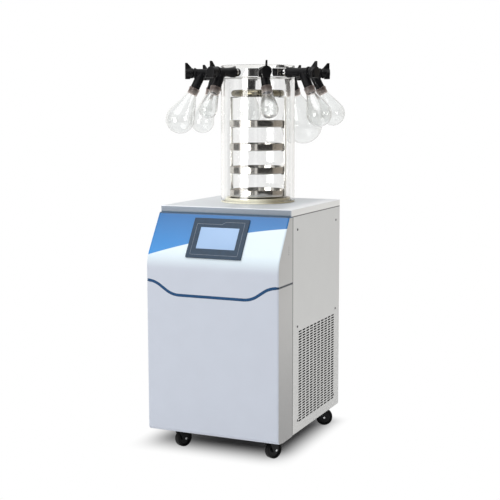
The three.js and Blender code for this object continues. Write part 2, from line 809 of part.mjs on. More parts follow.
function casterPlaces() {
  const places = [];
  for (const side of [-1, 1]) {
    places.push({
      name: side < 0 ? "front_left" : "front_right",
      to: [side * (halfWidth - frontCaster.fromSide), frontY + frontCaster.fromFront, 0],
      angle: frontCaster.angle,
    });
    places.push({
      name: side < 0 ? "rear_left" : "rear_right",
      to: [side * (halfWidth - rearCaster.fromSide), backY - rearCaster.fromBack, 0],
      angle: rearCaster.angle,
    });
  }
  return places;
}

// Fork with its swivel axis on Z and its axle along Y, trailing towards +X.
function casterFork() {
  const top = underside - padHeight - seat;
  const inner = wheelWidth / 2 + legGap;
  const crown = turned([[0, crownBottom], [crownRadius, crownBottom], [crownRadius, top - 3],
    [crownRadius - 4, top], [0, top]], wheelRound);
  const legOutline = rounded([
    [casterTrail - legFoot, axleZ - legFoot, legFoot],
    [casterTrail + legFoot, axleZ - legFoot, legFoot],
    [crownRadius - 5, crownBottom + 1, 0], [-crownRadius + 7, crownBottom + 1, 0],
  ], 45);
  const leg = extruded(legOutline, "y", inner, inner + legSheet);
  const axle = moved(rod(axleRadius, -inner - legSheet - 2, inner + legSheet + 2, smallRound),
    { roll: 90, to: [casterTrail, 0, axleZ] });
  const otherLeg = extruded(legOutline, "y", -inner - legSheet, -inner);
  return joined([crown, leg, otherLeg, axle]);
}

// Wheel about Z, its width centred, with dished faces.
function casterWheel() {
  const half = wheelWidth / 2;
  const dish = half - wheelDish;
  const face = [
    [boreFor(axleRadius, wheelRound), dish], [wheelRimInner, dish], [wheelRimInner + 1, half],
    [wheelRadius - wheelTread, half], [wheelRadius, half - wheelTread],
  ];
  const mirrored = face.map(([r, z]) => [r, -z]).reverse();
  return turned([...face, ...mirrored], wheelRound);
}

function addCasters() {
  const fork = geometryOf(casterFork());
  // Half a facet of turn sets a flat of the tread on the floor.
  const wheel = geometryOf(moved(casterWheel(), { spin: 180 / wheelRound }));
  for (const { name, to, angle } of casterPlaces()) {
    const swivel = new THREE.Group();
    swivel.position.set(...to);
    swivel.rotation.z = THREE.MathUtils.degToRad(angle);
    machine.add(swivel);
    addMesh(swivel, `caster_fork_${name}`, fork, blackPlastic);
    const rolling = addMesh(swivel, `caster_wheel_${name}`, wheel, blackRubber);
    rolling.position.set(casterTrail, 0, axleZ);
    rolling.rotation.x = Math.PI / 2;
  }
}

// ---------------------------------------------------------------- machinery

const panFloor = underside + basePanSheet;

function compressor() {
  const r = compressorRadius;
  const top = compressorHeight;
  const shell = turned([
    [0, 8], [r - 20, 8], [r, 28], [r, top - 30], [r - 14, top - 9], [r - 40, top], [0, top],
  ], mediumRound);
  const foot = compressorFoot;
  const plate = extruded(rectangle([-foot, foot], [-foot, foot], 16), "z", seat, compressorFootSheet);
  const mount = rod(r - 24, seat, 12, mediumRound);
  return moved(joined([shell, plate, mount]), { to: [compressorX, compressorY, panFloor] });
}

// Finned block: one body with grooves between its fins on both faces.
function condenser() {
  const x1 = halfWidth - panelFlange - basePanSheet - seat - coilFromPanel;
  const x0 = x1 - coilWidth;
  const [y0, y1] = coilRange();
  const z = [panFloor + seat, panFloor + coilHeight];
  const pitch = (y1 - y0) / (coilFins + 1);
  const outline = [];
  const face = (from, to, x, depth) => {
    for (let i = 1; i <= coilFins; i++) {
      const y = from + Math.sign(to - from) * i * pitch;
      const half = (Math.sign(to - from) * coilFinGap) / 2;
      outline.push([x, y - half], [x + depth, y - half], [x + depth, y + half], [x, y + half]);
    }
  };
  outline.push([x1, y0]);
  face(y0, y1, x1, -coilFinDepth);
  outline.push([x1, y1], [x0, y1]);
  face(y1, y0, x0, coilFinDepth);
  outline.push([x0, y0]);
  return extruded(outline.map(([x, y]) => new THREE.Vector2(x, y)), "z", z[0], z[1]);
}

function coilRange() {
  const middle = (seamY + backY) / 2;
  return [middle - coilLength / 2, middle + coilLength / 2];
}

const coilInnerX = () => halfWidth - panelFlange - basePanSheet - seat - coilFromPanel - coilWidth;
const fanCentre = () => [(coilRange()[0] + coilRange()[1]) / 2, panFloor + coilHeight / 2];

// Box round the fan, open to the coil, with a round outlet, three spokes and the motor.
function fanShroud() {
  const x1 = coilInnerX() - seat;
  const x0 = x1 - shroudDepth;
  const y = coilRange();
  const z = [panFloor + seat, panFloor + coilHeight];
  const box = foldedTray([x0, x1], y, z, shroudSheet, "x", "low");
  const [cy, cz] = fanCentre();
  const outletRadius = fanRadius + fanTipClearance;
  const onShaft = (radius, from, to, facets) => alongX(rod(radius, from, to, facets), [0, cy, cz]);
  const outlet = onShaft(outletRadius, x0 - 1, x0 + shroudSheet + 1, mediumRound);
  const motor = onShaft(motorRadius, x0 - motorLength, x0 + shroudSheet, smallRound);
  const shaft = onShaft(shaftRadius, x0, x0 + shroudSheet + fanHubLength, smallRound);
  const spokes = [0, 120, 240].map((turn) => {
    const bar = block([x0, x0 + shroudSheet], [-spokeWidth / 2, spokeWidth / 2],
      [0, outletRadius + 3]);
    return moved(bar, { roll: turn, to: [0, cy, cz] });
  });
  return joined([box.subtract(outlet), motor, ...spokes, shaft]);
}

function fan() {
  const x0 = coilInnerX() - seat - shroudDepth + shroudSheet + 2;
  const [cy, cz] = fanCentre();
  const bore = boreFor(shaftRadius, smallRound);
  const hub = turned([
    [bore, 0], [fanHubRadius, 0], [fanHubRadius, fanHubLength - 4],
    [fanHubRadius - 4, fanHubLength], [0, fanHubLength], [0, fanHubLength - 2],
    [bore, fanHubLength - 2],
  ], smallRound);
  const rotor = [alongX(hub)];
  const middle = fanHubLength / 2;
  for (let i = 0; i < fanBlades; i++) {
    const blade = block([-bladeSheet / 2, bladeSheet / 2], [-bladeChord / 2, bladeChord / 2],
      [fanHubRadius - 3, fanRadius - 4]);
    const pitched = moved(blade, { spin: fanPitch, to: [middle, 0, 0] });
    rotor.push(moved(pitched, { roll: (i * 360) / fanBlades }));
  }
  return moved(joined(rotor), { to: [x0, cy, cz] });
}

// ---------------------------------------------------------------- rear connections

function vacuumPort() {
  const plate = backY + seat;
  const end = backY + portLength;
  const pipe = turned([
    [portBore, backY - portInside], [portRadius, backY - portInside], [portRadius, plate],
    [portPlateRadius, plate], [portPlateRadius, plate + portPlateHeight],
    [portRadius, plate + portPlateHeight], [portRadius, end - portFlangeHeight - 3],
    [portFlangeRadius, end - portFlangeHeight], [portFlangeRadius, end], [portBore, end],
  ], wheelRound);
  return moved(pipe, { roll: -90, to: [portX, 0, portZ] });
}

function mainsInlet() {
  const centred = (width, height, y0, y1, radius = 0) =>
    extruded(rectangle([inletX - width / 2, inletX + width / 2],
      [inletZ - height / 2, inletZ + height / 2], radius), "y", y0, y1);
  const face = backY + seat + inletPlate;
  return centred(inletWidth, inletHeight, backY + seat, face, 3)
    .add(centred(inletBodyWidth, inletBodyHeight, backY - inletDepth, face - 1))
    .subtract(centred(inletSocketWidth, inletSocketHeight, face - inletSocketDepth, face + 1));
}

// ---------------------------------------------------------------- assembly

function addCabinet() {
  addMesh(machine, "base_pan", basePan(), darkSteel);
  addMesh(machine, "right_side_panel", sidePanel(true), greyPaint);
  const left = addMesh(machine, "left_side_panel", sidePanel(false), greyPaint);
  left.scale.x = -1;
  addMesh(machine, "rear_panel", rearPanel(), greyPaint);
  addMesh(machine, "worktop", worktop(), steel);
  addMesh(machine, "front_cover", shellHalf(false), paint);
  addMesh(machine, "console_fascia", shellHalf(true).subtract(displayCutout()), fascia);
  addMesh(machine, "trim_strip", trimStrip(), stripBlue);
  addMesh(machine, "display_bezel", displayBezel(), bezelGrey);
  addMesh(machine, "touch_screen", touchScreen(), screenBlue);
}

function addChamber() {
  const chamber = new THREE.Group();
  chamber.position.y = chamberBehindOrigin;
  machine.add(chamber);
  const bore = chamberRadius - chamberWall;
  const wall = (z0, z1) => tube(bore, chamberRadius, z0, z1, largeRound);
  const ring = tube(trapRadius, ringOuterRadius, trapFlangeTop + seat, ringTop, largeRound);
  addMesh(chamber, "cold_trap", coldTrap(), steel);
  addMesh(chamber, "trap_ring", ring, cream);
  addMesh(chamber, "chamber_gasket", wall(worktopHeight + seat, cylinderBottom - seat), silicone);
  addMesh(chamber, "chamber_cylinder", wall(cylinderBottom, chamberTop), acrylic);
  addMesh(chamber, "lid_gasket", wall(chamberTop + seat, lidBottom - seat), silicone);
  addMesh(chamber, "manifold_lid", manifoldLid(), acrylic);
  addMesh(chamber, "tray_rack", trayRack(), steel);
  addMesh(chamber, "rack_cap", rackCap(), steel);
  const pan = geometryOf(tray());
  for (let level = 0; level < trayCount; level++) {
    addMesh(chamber, `tray_${level + 1}`, pan, steel).position.z = trayBottom(level);
  }
}

function addMachinery() {
  addMesh(machine, "compressor", compressor(), blackPlastic);
  addMesh(machine, "condenser", condenser(), copper);
  addMesh(machine, "fan_shroud", fanShroud(), darkSteel);
  addMesh(machine, "fan", fan(), blackPlastic);
  addMesh(machine, "vacuum_port", vacuumPort(), steel);
  addMesh(machine, "mains_inlet", mainsInlet(), blackPlastic);
}

addCabinet();
addChamber();
addManifold();
addCasters();
addMachinery();

export default machine;
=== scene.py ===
import bpy
import bmesh
import math
from mathutils import Matrix, Vector
from mathutils.geometry import tessellate_polygon

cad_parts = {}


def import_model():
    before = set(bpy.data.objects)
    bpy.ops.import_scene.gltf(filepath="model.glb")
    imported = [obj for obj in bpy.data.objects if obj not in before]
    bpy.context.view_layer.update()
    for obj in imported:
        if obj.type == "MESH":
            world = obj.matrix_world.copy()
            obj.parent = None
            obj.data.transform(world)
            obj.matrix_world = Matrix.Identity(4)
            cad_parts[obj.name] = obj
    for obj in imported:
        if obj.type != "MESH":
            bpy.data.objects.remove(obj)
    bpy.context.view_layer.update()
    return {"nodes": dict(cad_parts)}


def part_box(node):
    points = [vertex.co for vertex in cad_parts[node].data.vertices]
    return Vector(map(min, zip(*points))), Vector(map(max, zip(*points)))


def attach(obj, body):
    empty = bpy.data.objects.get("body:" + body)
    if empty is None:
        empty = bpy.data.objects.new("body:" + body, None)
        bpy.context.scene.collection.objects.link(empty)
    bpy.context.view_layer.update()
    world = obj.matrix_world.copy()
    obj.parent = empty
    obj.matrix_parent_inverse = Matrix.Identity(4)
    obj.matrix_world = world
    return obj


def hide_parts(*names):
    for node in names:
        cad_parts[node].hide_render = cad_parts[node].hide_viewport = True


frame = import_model()
nodes = frame["nodes"]
MM = 0.001

# -------------------- sizes, as in the CAD (mm)
HALF = 240.0  # half the cabinet's width
FRONT, SEAM, BACK = -366.0, -245.0, 211.0  # front face, rear edge of the front shell, rear face
UNDER, TOP = 82.0, 840.0  # bottom of the cabinet, top of the worktop
SHELL_TOP, WORKTOP_FOOT = 818.2, 818.6
EDGE = 6.0  # radius of the upright front edges
LEAN_DEGREES = 32.7  # slope of the console, from upright
LEAN = math.radians(LEAN_DEGREES)
BROW_Y = -272.0  # upper end of that slope
KNEE_R, BROW_R, TOE_R = 100.0, 5.0, 14.0  # bends of the front shell's side outline
# the split line: its heights, where its knees stand, and their radius
SPLIT_HIGH, SPLIT_LOW, SPLIT_OUT, SPLIT_IN, SPLIT_R = 598.0, 553.0, 211.0, 144.0, 90.0
STRIP_END = HALF - EDGE
STRIP_GAP, SIDE_GAP = 4.3, 1.1  # half the gap between the shells, at the strip and round the sides
SHELL_WALL = 2.6
BAND = 3.9  # half the height of the blue strip
AXIS = 19.0  # Y of the chamber's axis
INNER_R, OUTER_R = 122.0, 130.0  # chamber wall
TRAP_R, TRAP_SHEET = 100.0, 2.0
TRAY_R = 100.0
SEAT = 0.3  # gap between pieces that rest on each other
VALVE_Z = 1290.0
VALVES = [45 * i - 59.7 for i in range(8)]
BRANCH_START, BRANCH_TILT, BRANCH_END = 196.0, 26.0, 57.0
BODY_END, KNOB_FACE = 224.0, 255.3
NECK = 27.0  # length of the flasks' ground necks
# bulb and length of each kind of flask, and each valve's flask and turn in degrees
KINDS = {"small": (61.4, 112.8), "medium": (85.6, 142.6), "long": (86.0, 176.0), "large": (101, 170.4),
         "great": (140.6, 216.2)}
STATIONS = [("small", 4), ("medium", 0), ("medium", -7), ("great", 3), ("medium", 0), ("long", -8),
            ("large", 0), ("small", -4)]


# -------------------- shader nodes
def operator(operation, swapped=False, clamp=False):
    """A method of Value that adds one Math node."""

    def method(self, other=0.0):
        pair = (other, self) if swapped else (self, other)
        return add(self.tree, "Math", dict(enumerate(pair)), operation=operation, use_clamp=clamp)

    return method


class Value:
    """An output of a shader node. Sums, comparisons, abs() and | (the larger one) add Math nodes."""

    __add__ = operator("ADD")
    __sub__ = operator("SUBTRACT")
    __rsub__ = operator("SUBTRACT", swapped=True)
    __mul__ = operator("MULTIPLY")
    __truediv__ = operator("DIVIDE")
    __lt__ = operator("LESS_THAN")
    __gt__ = operator("GREATER_THAN")
    __abs__ = operator("ABSOLUTE")
    __or__ = operator("MAXIMUM")
    root = operator("SQRT")
    pingpong = operator("PINGPONG")
    arctan2 = operator("ARCTAN2")
    clamped = operator("ADD", clamp=True)

    def __init__(self, tree, socket):
        self.tree = tree
        self.socket = socket


def feed(socket, value):
    """Gives an input a plain value, or links the Value that feeds it."""
    if isinstance(value, Value):
        value.tree.links.new(value.socket, socket)
    else:
        socket.default_value = value


def add(tree, kind, inputs=None, out=0, **settings):
    """Adds a node with its settings and inputs; gives one of its outputs."""
    node = tree.nodes.new("ShaderNode" + kind)
    for key, value in settings.items():
        setattr(node, key, value)
    for key, value in (inputs or {}).items():
        feed(node.inputs[key], value)
    return Value(tree, node.outputs[out])


def fade(value, low, high):
    """0..1 while the value goes from low to high."""
    ends = {"From Min": low, "From Max": high}
    return add(value.tree, "MapRange", {"Value": value, **ends}, interpolation_type="SMOOTHSTEP")


def ramp(texture, low, high):
    """Maps the middle of a noise's range on to low..high."""
    ends = {"From Min": 0.3, "From Max": 0.7, "To Min": low, "To Max": high}
    return add(texture.tree, "MapRange", {"Value": texture, **ends})


def blend(factor, a, b):
    """Mixes two colours, each a Value or a plain colour."""
    ends = {key: c if isinstance(c, Value) else (*c, 1) for key, c in (("A", a), ("B", b))}
    return add(factor.tree, "Mix", {"Factor": factor, **ends}, "Result", data_type="RGBA")


def object_xyz(tree, scale=1.0):
    place = add(tree, "TexCoord", out="Object")
    return [add(tree, "SeparateXYZ", {0: place}, i) * scale for i in range(3)]


def ray(tree, *kinds):
    """1 for rays of any of these kinds."""
    found = [add(tree, "LightPath", out=f"Is {kind} Ray") for kind in kinds]
    result = found[0]
    for other in found[1:]:
        result = result | other
    return result


def surface(tree, shader):
    feed(tree.nodes["Material Output"].inputs["Surface"], shader)


# -------------------- materials
def new_material(name, color, rough, metal=0.0, **inputs):
    mat = bpy.data.materials.new(name)
    mat.use_nodes = True
    bsdf = mat.node_tree.nodes["Principled BSDF"]
    inputs = {"Base_Color": (*color, 1), "Roughness": rough, "Metallic": metal, **inputs}
    for key, value in inputs.items():
        bsdf.inputs[key.replace("_", " ")].default_value = value
    return mat, mat.node_tree, bsdf


def srgb(r, g, b):
    def linear(c):
        c /= 255
        return c / 12.92 if c <= 0.04045 else ((c + 0.055) / 1.055) ** 2.4

    return linear(r), linear(g), linear(b)


def noise(tree, scale, detail, stretch=(1, 1, 1)):
    place = add(tree, "Mapping", {"Vector": add(tree, "TexCoord", out="Object"), "Scale": stretch})
    return add(tree, "TexNoise", {"Vector": place, "Scale": scale, "Detail": detail}, "Fac")


def vary(bsdf, texture, color, spread, rough, rough_spread):
    """Lets a noise move the colour's value and the roughness a little."""
    darker = [c * (1 - spread) for c in color]
    lighter = [min(c * (1 + spread), 1) for c in color]
    feed(bsdf.inputs["Base Color"], blend(ramp(texture, 0, 1), darker, lighter))
    feed(bsdf.inputs["Roughness"], ramp(texture, rough - rough_spread, rough + rough_spread))


def bump(bsdf, texture, strength, distance=0.0003):
    made = add(texture.tree, "Bump", {"Height": texture, "Strength": strength, "Distance": distance})
    feed(bsdf.inputs["Normal"], made)


def painted(name, color, rough=0.38, grain=0.05, scale=700):
    mat, tree, bsdf = new_material(name, color, rough)
    vary(bsdf, noise(tree, 14, 5), color, 0.012, rough, 0.03)
    bump(bsdf, noise(tree, scale, 2), grain)
    return mat


def brushed(name, color, rough, along=(1, 1, 1), spread=0.05, grain=0.03):
    mat, tree, bsdf = new_material(name, color, rough, 1.0)
    streaks = noise(tree, 14, 8, along)
    vary(bsdf, streaks, color, spread, rough, 0.06)
    bump(bsdf, streaks, grain, 0.0002)
    return mat


def rubbery(name, color, rough, scale=500, grain=0.15, gloss=0.5):
    mat, tree, bsdf = new_material(name, color, rough, Specular_IOR_Level=gloss)
    vary(bsdf, noise(tree, 60, 4), color, 0.15, rough, 0.06)
    bump(bsdf, noise(tree, scale, 3), grain)
    return mat


def moulded(name, color, rough, metal, texture, spread):
    """A smooth surface whose colour and roughness follow one noise (scale, detail, stretch)."""
    mat, tree, bsdf = new_material(name, color, rough, metal)
    vary(bsdf, noise(tree, *texture), color, spread, rough, 0.05)
    return mat


def clear(name, color, ior, haze=0.0, passes=1.0):
    """Clear plastic or glass. Light and scattered rays go straight through it, so what it holds is lit;
    `passes` is the share that it lets through, the rest is frosted."""
    mat, tree, bsdf = new_material(name, color, haze, IOR=ior, Transmission_Weight=passes)
    vary(bsdf, noise(tree, 25, 3), color, 0.01, haze + 0.006, 0.006)
    through = add(tree, "BsdfTransparent", {"Color": (*[c ** 0.3 for c in color], 1)})
    unbent = ray(tree, "Shadow", "Diffuse")
    surface(tree, add(tree, "MixShader", {0: unbent, 1: Value(tree, bsdf.outputs[0]), 2: through}))
    return mat


def shaded(mat, rule):
    """Passes the material's colour through a rule of the paint and of the place in mm."""
    tree = mat.node_tree
    socket = tree.nodes["Principled BSDF"].inputs["Base Color"]
    paint = Value(tree, socket.links[0].from_socket)
    feed(socket, rule(paint, *object_xyz(tree, 1 / MM)))
    return mat


COVER = srgb(202, 208, 220)
PANEL = srgb(218, 218, 216)
TOP_STEEL = srgb(214, 218, 222)
CREAM = srgb(255, 250, 228)
STRIP_BLUE = srgb(22, 72, 116)
TO_RIGHT = (0.913, 0.408)  # the picture's direction to the right, on the floor


def return_colour_with_painted_shade(paint, x, y, z):
    """The moulding's side faces are neutral grey, with painted shade that darkens them towards the floor. The
    band of the strip runs on round its edges as paint: blue on the rounded edge, a grey line of painted shade
    on the side faces."""
    side = abs(x) > HALF - 0.5
    # painted shade: the side faces darken towards the floor
    grey = blend(fade(z, 60.0, 560.0), srgb(158, 157, 156), srgb(196, 195, 193))
    # the band is the strip's blue on the rounded edge; on the side faces it is a grey line of painted shade
    band = blend(side, STRIP_BLUE, srgb(118, 121, 125))
    in_band = (abs(z - SPLIT_HIGH) < BAND) * (abs(x) > STRIP_END - 0.4)
    return blend(in_band, blend(side, paint, grey), band)


def console_colour_with_painted_light(paint, x, y, z):
    """Pale paint with the blue field above a curved edge, drawn in the slope's own coordinates,
    and the small perforations on the right-hand return. A painted highlight pales the upper slope, and
    a painted shadow darkens the top edge under the worktop."""
    down = (SHELL_TOP - z) / math.cos(LEAN)
    # the edge is a gentle arc from low on the left to high on the right
    share = (x + HALF) / (2 * HALF)
    edge = 162.0 - share * 181.0 + share * share * 62.0
    in_field = ((edge - down) * 1.2).clamped() * (y < -257.0)
    # painted highlight: the upper part of the slope, which faces the light, turns paler
    highlit_paint = blend(fade(z, 632.0, 690.0), paint, srgb(226, 240, 248))
    field = blend((down / 150.0).clamped(), srgb(5, 104, 171), srgb(40, 140, 216))
    color = return_colour_with_painted_shade(blend(in_field, highlit_paint, field), x, y, z)
    # two columns of five holes
    hole_y, hole_z, hole_r = 2.5, 3.1, 1.1  # half the steps between the holes, and their radius
    low_y, low_z = -284.0, 694.0
    beside = (x > HALF - 0.5) * (y > low_y) * (y < low_y + 4 * hole_y)
    beside = beside * (z > low_z) * (z < low_z + 10 * hole_z)
    off_y = (y - low_y).pingpong(hole_y) - hole_y
    off_z = (z - low_z).pingpong(hole_z) - hole_z
    hole = ((off_y * off_y + off_z * off_z).root() < hole_r) * beside
    color = blend(hole, color, srgb(70, 70, 72))
    # painted shadow under the worktop's rim along the console's top edge
    return blend(fade(z, SHELL_TOP - 4.2, SHELL_TOP - 2.6), color, srgb(52, 86, 118))


def worktop_colour_with_painted_light(paint, x, y, z):
    """Painted light and shade: the front fold is painted darker as shade, darkest at its lower edge, and the
    side folds paler as lit. Painted highlights brighten the top to the right and along its front edge."""
    # painted shade on the front fold, deepening towards its lower edge
    fold = blend(fade(z, 823.5, 820.0), srgb(146, 155, 166), srgb(112, 132, 150))
    # painted light: the side folds are paler
    folds = blend(abs(x) > HALF + 0.7, paint, srgb(243, 243, 241))
    folds = blend(y < SEAM - 13.3, folds, fold)
    # painted highlight: the top brightens towards the right
    flat = blend(fade(x, 165.0, 238.0), paint, srgb(243, 244, 247))
    # painted highlight along the top's front edge
    flat = blend(fade(y, SEAM - 4.0, SEAM - 10.0), flat, srgb(246, 249, 254))
    return blend(fade(z, TOP - 1.9, TOP - 1.1), folds, flat)


def panel_colour_with_painted_shade(paint, x, y, z):
    """Painted shade darkens the seams, the inside and the edges of the slots."""
    # painted shade in the gaps: along the front seam and under the worktop's rim
    seam = (y < SEAM + 4.5) | (z > SHELL_TOP - 3.2)
    # painted shade: every face inside the outer skin, the slot edges among them, is near black
    inside = (abs(x) < HALF - 0.35) * (y < BACK - 0.35)
    return blend(inside, blend(seam, paint, srgb(104, 104, 103)), srgb(24, 24, 24))


def ring_colour_with_painted_shade(paint, x, y, z):
    """Cream, with painted shade that deepens it to tan on the side away from the light."""
    across = x * TO_RIGHT[0] + y * TO_RIGHT[1]
    # painted shade, growing along TO_RIGHT
    return blend(fade(across, -15.0, 75.0), paint, srgb(168, 158, 130))


def neck_colour(paint, x, y, z):
    """Ground glass, browner round the mouth, where the black plug of the valve shows through."""
    return blend(fade(z, VALVE_Z - 70.0, VALVE_Z - 53.0), srgb(224, 213, 207), srgb(138, 120, 113))


M = {
    "post_steel": brushed("post_steel", srgb(232, 231, 228), 0.2, (1, 1, 60), 0.03, 0.05),
    "bright_steel": brushed("tray_steel", srgb(208, 205, 200), 0.12, (1, 1, 60), 0.04, 0.05),
    "cap_steel": brushed("cap_steel", srgb(128, 122, 104), 0.2, (1, 1, 60), 0.06, 0.08),
    "zinc": brushed("zinc_plate", srgb(198, 200, 202), 0.28),
    "screw": brushed("screw_head", srgb(96, 96, 98), 0.35),
    "coil": brushed("coil_fins", srgb(52, 50, 48), 0.6, (1, 60, 1), 0.05, 0.12),
    "dark_steel": painted("dark_steel", srgb(70, 72, 75), 0.5),
    "black": painted("black_enamel", srgb(22, 22, 24), 0.3),
    "screen": painted("screen_glass", srgb(163, 194, 232), 0.4, 0.01),
    "rubber": rubbery("black_rubber", srgb(24, 24, 27), 0.5),
    "silicone": rubbery("pale_silicone", srgb(250, 249, 243), 0.4, 300, 0.03),
    "valve": rubbery("valve_rubber", srgb(13, 13, 16), 0.45, 700, 0.06, 0.16),
    "knob": rubbery("knob_plastic", srgb(12, 12, 14), 0.34, 900, 0.05, 0.2),
    "tread": rubbery("wheel_tread", srgb(15, 15, 17), 0.5, 500, 0.1, 0.2),
    "fork": rubbery("fork_plastic", srgb(14, 14, 16), 0.38, 700, 0.08, 0.2),
    "strip": rubbery("blue_strip", STRIP_BLUE, 0.4, 900, 0.03, 0.3),
    "bezel": rubbery("bezel_plastic", srgb(44, 65, 86), 0.45, 1200, 0.15, 0.3),
    "bezel_line": rubbery("bezel_line", srgb(122, 134, 150), 0.4, 900, 0.05),
    "acrylic": clear("clear_acrylic", (0.962, 0.964, 0.962), 1.49),
    "glass": clear("flask_glass", (0.925, 0.932, 0.928), 1.47, 0.09),
    "neck": shaded(clear("ground_neck", srgb(222, 211, 204), 1.47, 0.3, 0.84), neck_colour),
    "cream": shaded(moulded("cream_ring", CREAM, 0.4, 0.0, (60, 4), 0.02), ring_colour_with_painted_shade),
    "steel": shaded(moulded("worktop_steel", TOP_STEEL, 0.5, 0.25, (14, 8, (1, 50, 50)), 0.02),
                    worktop_colour_with_painted_light),
    "cover": shaded(painted("cover_paint", COVER, 0.36), return_colour_with_painted_shade),
    "console": shaded(painted("console_paint", COVER, 0.33), console_colour_with_painted_light),
    "side": shaded(painted("panel_powder_coat", PANEL, 0.45, 0.12, 900), panel_colour_with_painted_shade),
}


# -------------------- mesh helpers, all in mm
def turn(degrees, axis):
    return Matrix.Rotation(math.radians(degrees), 4, axis)


def shift(x, y, z):
    return Matrix.Translation((x, y, z))


def at(x, y, z, spin=0.0):
    """A place for a finished piece, in metres."""
    return shift(x * MM, y * MM, z * MM) @ turn(spin, "Z")


ALONG_X = turn(90, "Y")
ALONG_Y = turn(90, "X")


def z_of(node):
    """Lowest and highest point of a CAD node."""
    low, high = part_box(node)
    return low[2] / MM, high[2] / MM


def new_object(name, data):
    obj = bpy.data.objects.new(name, data)
    bpy.context.scene.collection.objects.link(obj)
    return obj


def new_mesh(name, verts, faces, join=None):
    """A checked mesh: its faces look outwards, and points closer than `join` are merged."""
    mesh = bpy.data.meshes.new(name)
    mesh.from_pydata([tuple(v) for v in verts], [], faces)
    mesh.validate()
    bm = bmesh.new()
    bm.from_mesh(mesh)
    if join:
        bmesh.ops.remove_doubles(bm, verts=bm.verts, dist=join)
    bmesh.ops.recalc_face_normals(bm, faces=bm.faces)
    bm.to_mesh(mesh)
    bm.free()
    return mesh


def piece(name, verts, faces, mat, body="cabinet", stands_for=(), slot=None, sharp=35, place=None,
          second=None):
    """A new piece from points and faces; smooth, with edges kept sharp above an angle. `second` is
    another material and the height (before placing) above which the faces take it."""
    mesh = new_mesh(name, [tuple(c * MM for c in v) for v in verts], faces, 1e-6)
    mesh.shade_smooth()
    mesh.set_sharp_from_angle(angle=math.radians(sharp))
    mesh.materials.append(mat)
    if second:
        mesh.materials.append(second[0])
        for face in mesh.polygons:
            if face.center.z > second[1] * MM:
                face.material_index = 1
    if place is not None:
        mesh.transform(place)
    obj = new_object(name, mesh)
    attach(obj, body)
    if stands_for:
        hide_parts(*stands_for)


def loft(rings, closed=False, around=True):
    """Side faces from ring to ring. `closed` joins the last ring to the first, and `around` each
    ring's last point to its first."""
    n = len(rings[0])
    verts = [point for ring in rings for point in ring]
    faces = []
    for r in range(len(rings) if closed else len(rings) - 1):
        a, b = r * n, (r + 1) % len(rings) * n
        for i in range(n if around else n - 1):
            j = (i + 1) % n
            faces.append((a + i, a + j, b + j, b + i))
    return verts, faces


def capped(rings):
    """A loft with a face at either end."""
    verts, faces = loft(rings)
    n = len(rings[0])
    return verts, faces + [tuple(range(n))[::-1], tuple(range(len(verts) - n, len(verts)))]


def level(outline, z):
    return [(x, y, z) for x, y in outline]


def lathe(profile, segments=96, closed=True):
    """Points and faces of a profile of (radius, height) turned about Z."""
    verts, faces, rings = [], [], []
    for r, z in profile:
        points = level(circle(r, segments), z) if r > 1e-6 else [(0, 0, z)]
        rings.append(range(len(verts), len(verts) + len(points)))
        verts += points
    pairs = list(zip(rings, rings[1:]))
    if closed and len(rings[0]) > 1:
        pairs.append((rings[-1], rings[0]))
    for low, high in pairs:
        if len(low) == 1 and len(high) == 1:
            continue
        for k in range(segments):
            j = (k + 1) % segments
            if len(low) == 1:
                faces.append((low[0], high[k], high[j]))
            elif len(high) == 1:
                faces.append((low[k], low[j], high[0]))
            else:
                faces.append((low[k], low[j], high[j], high[k]))
    return verts, faces


def circle(radius, count, y=0.0):
    turns = [2 * math.pi * k / count for k in range(count)]
    return [(radius * math.cos(a), y + radius * math.sin(a)) for a in turns]


def arc(cx, cy, r, first, last, steps):
    """Points round a centre, from one angle to another, in degrees."""
    turns = [math.radians(first + (last - first) * k / steps) for k in range(steps + 1)]
    return [(cx + r * math.cos(a), cy + r * math.sin(a)) for a in turns]


def box(x0, y0, x1, y1):
    return [(x0, y0), (x1, y0), (x1, y1), (x0, y1)]


def rounded(corners, radius, steps=6):
    """An outline whose corners are arcs. corners are (a, b) or (a, b, radius)."""
    out = []
    for i, corner in enumerate(corners):
        r = corner[2] if len(corner) > 2 else radius
        p = Vector(corner[:2])
        if r <= 0:
            out.append(tuple(p))
            continue
        back = (Vector(corners[i - 1][:2]) - p).normalized()
        ahead = (Vector(corners[(i + 1) % len(corners)][:2]) - p).normalized()
        half = math.acos(max(-1, min(1, back.dot(ahead)))) / 2
        centre = p + (back + ahead).normalized() * (r / math.sin(half))
        start = p + back * (r / math.tan(half)) - centre
        bend = (math.pi - 2 * half) * (1 if back.x * ahead.y - back.y * ahead.x < 0 else -1)
        for k in range(steps + 1):
            a = bend * k / steps
            out.append((centre.x + start.x * math.cos(a) - start.y * math.sin(a),
                        centre.y + start.x * math.sin(a) + start.y * math.cos(a)))
    return out


def rect(w, h, r, steps=5):
    return rounded(box(-w / 2, -h / 2, w / 2, h / 2), r, steps)


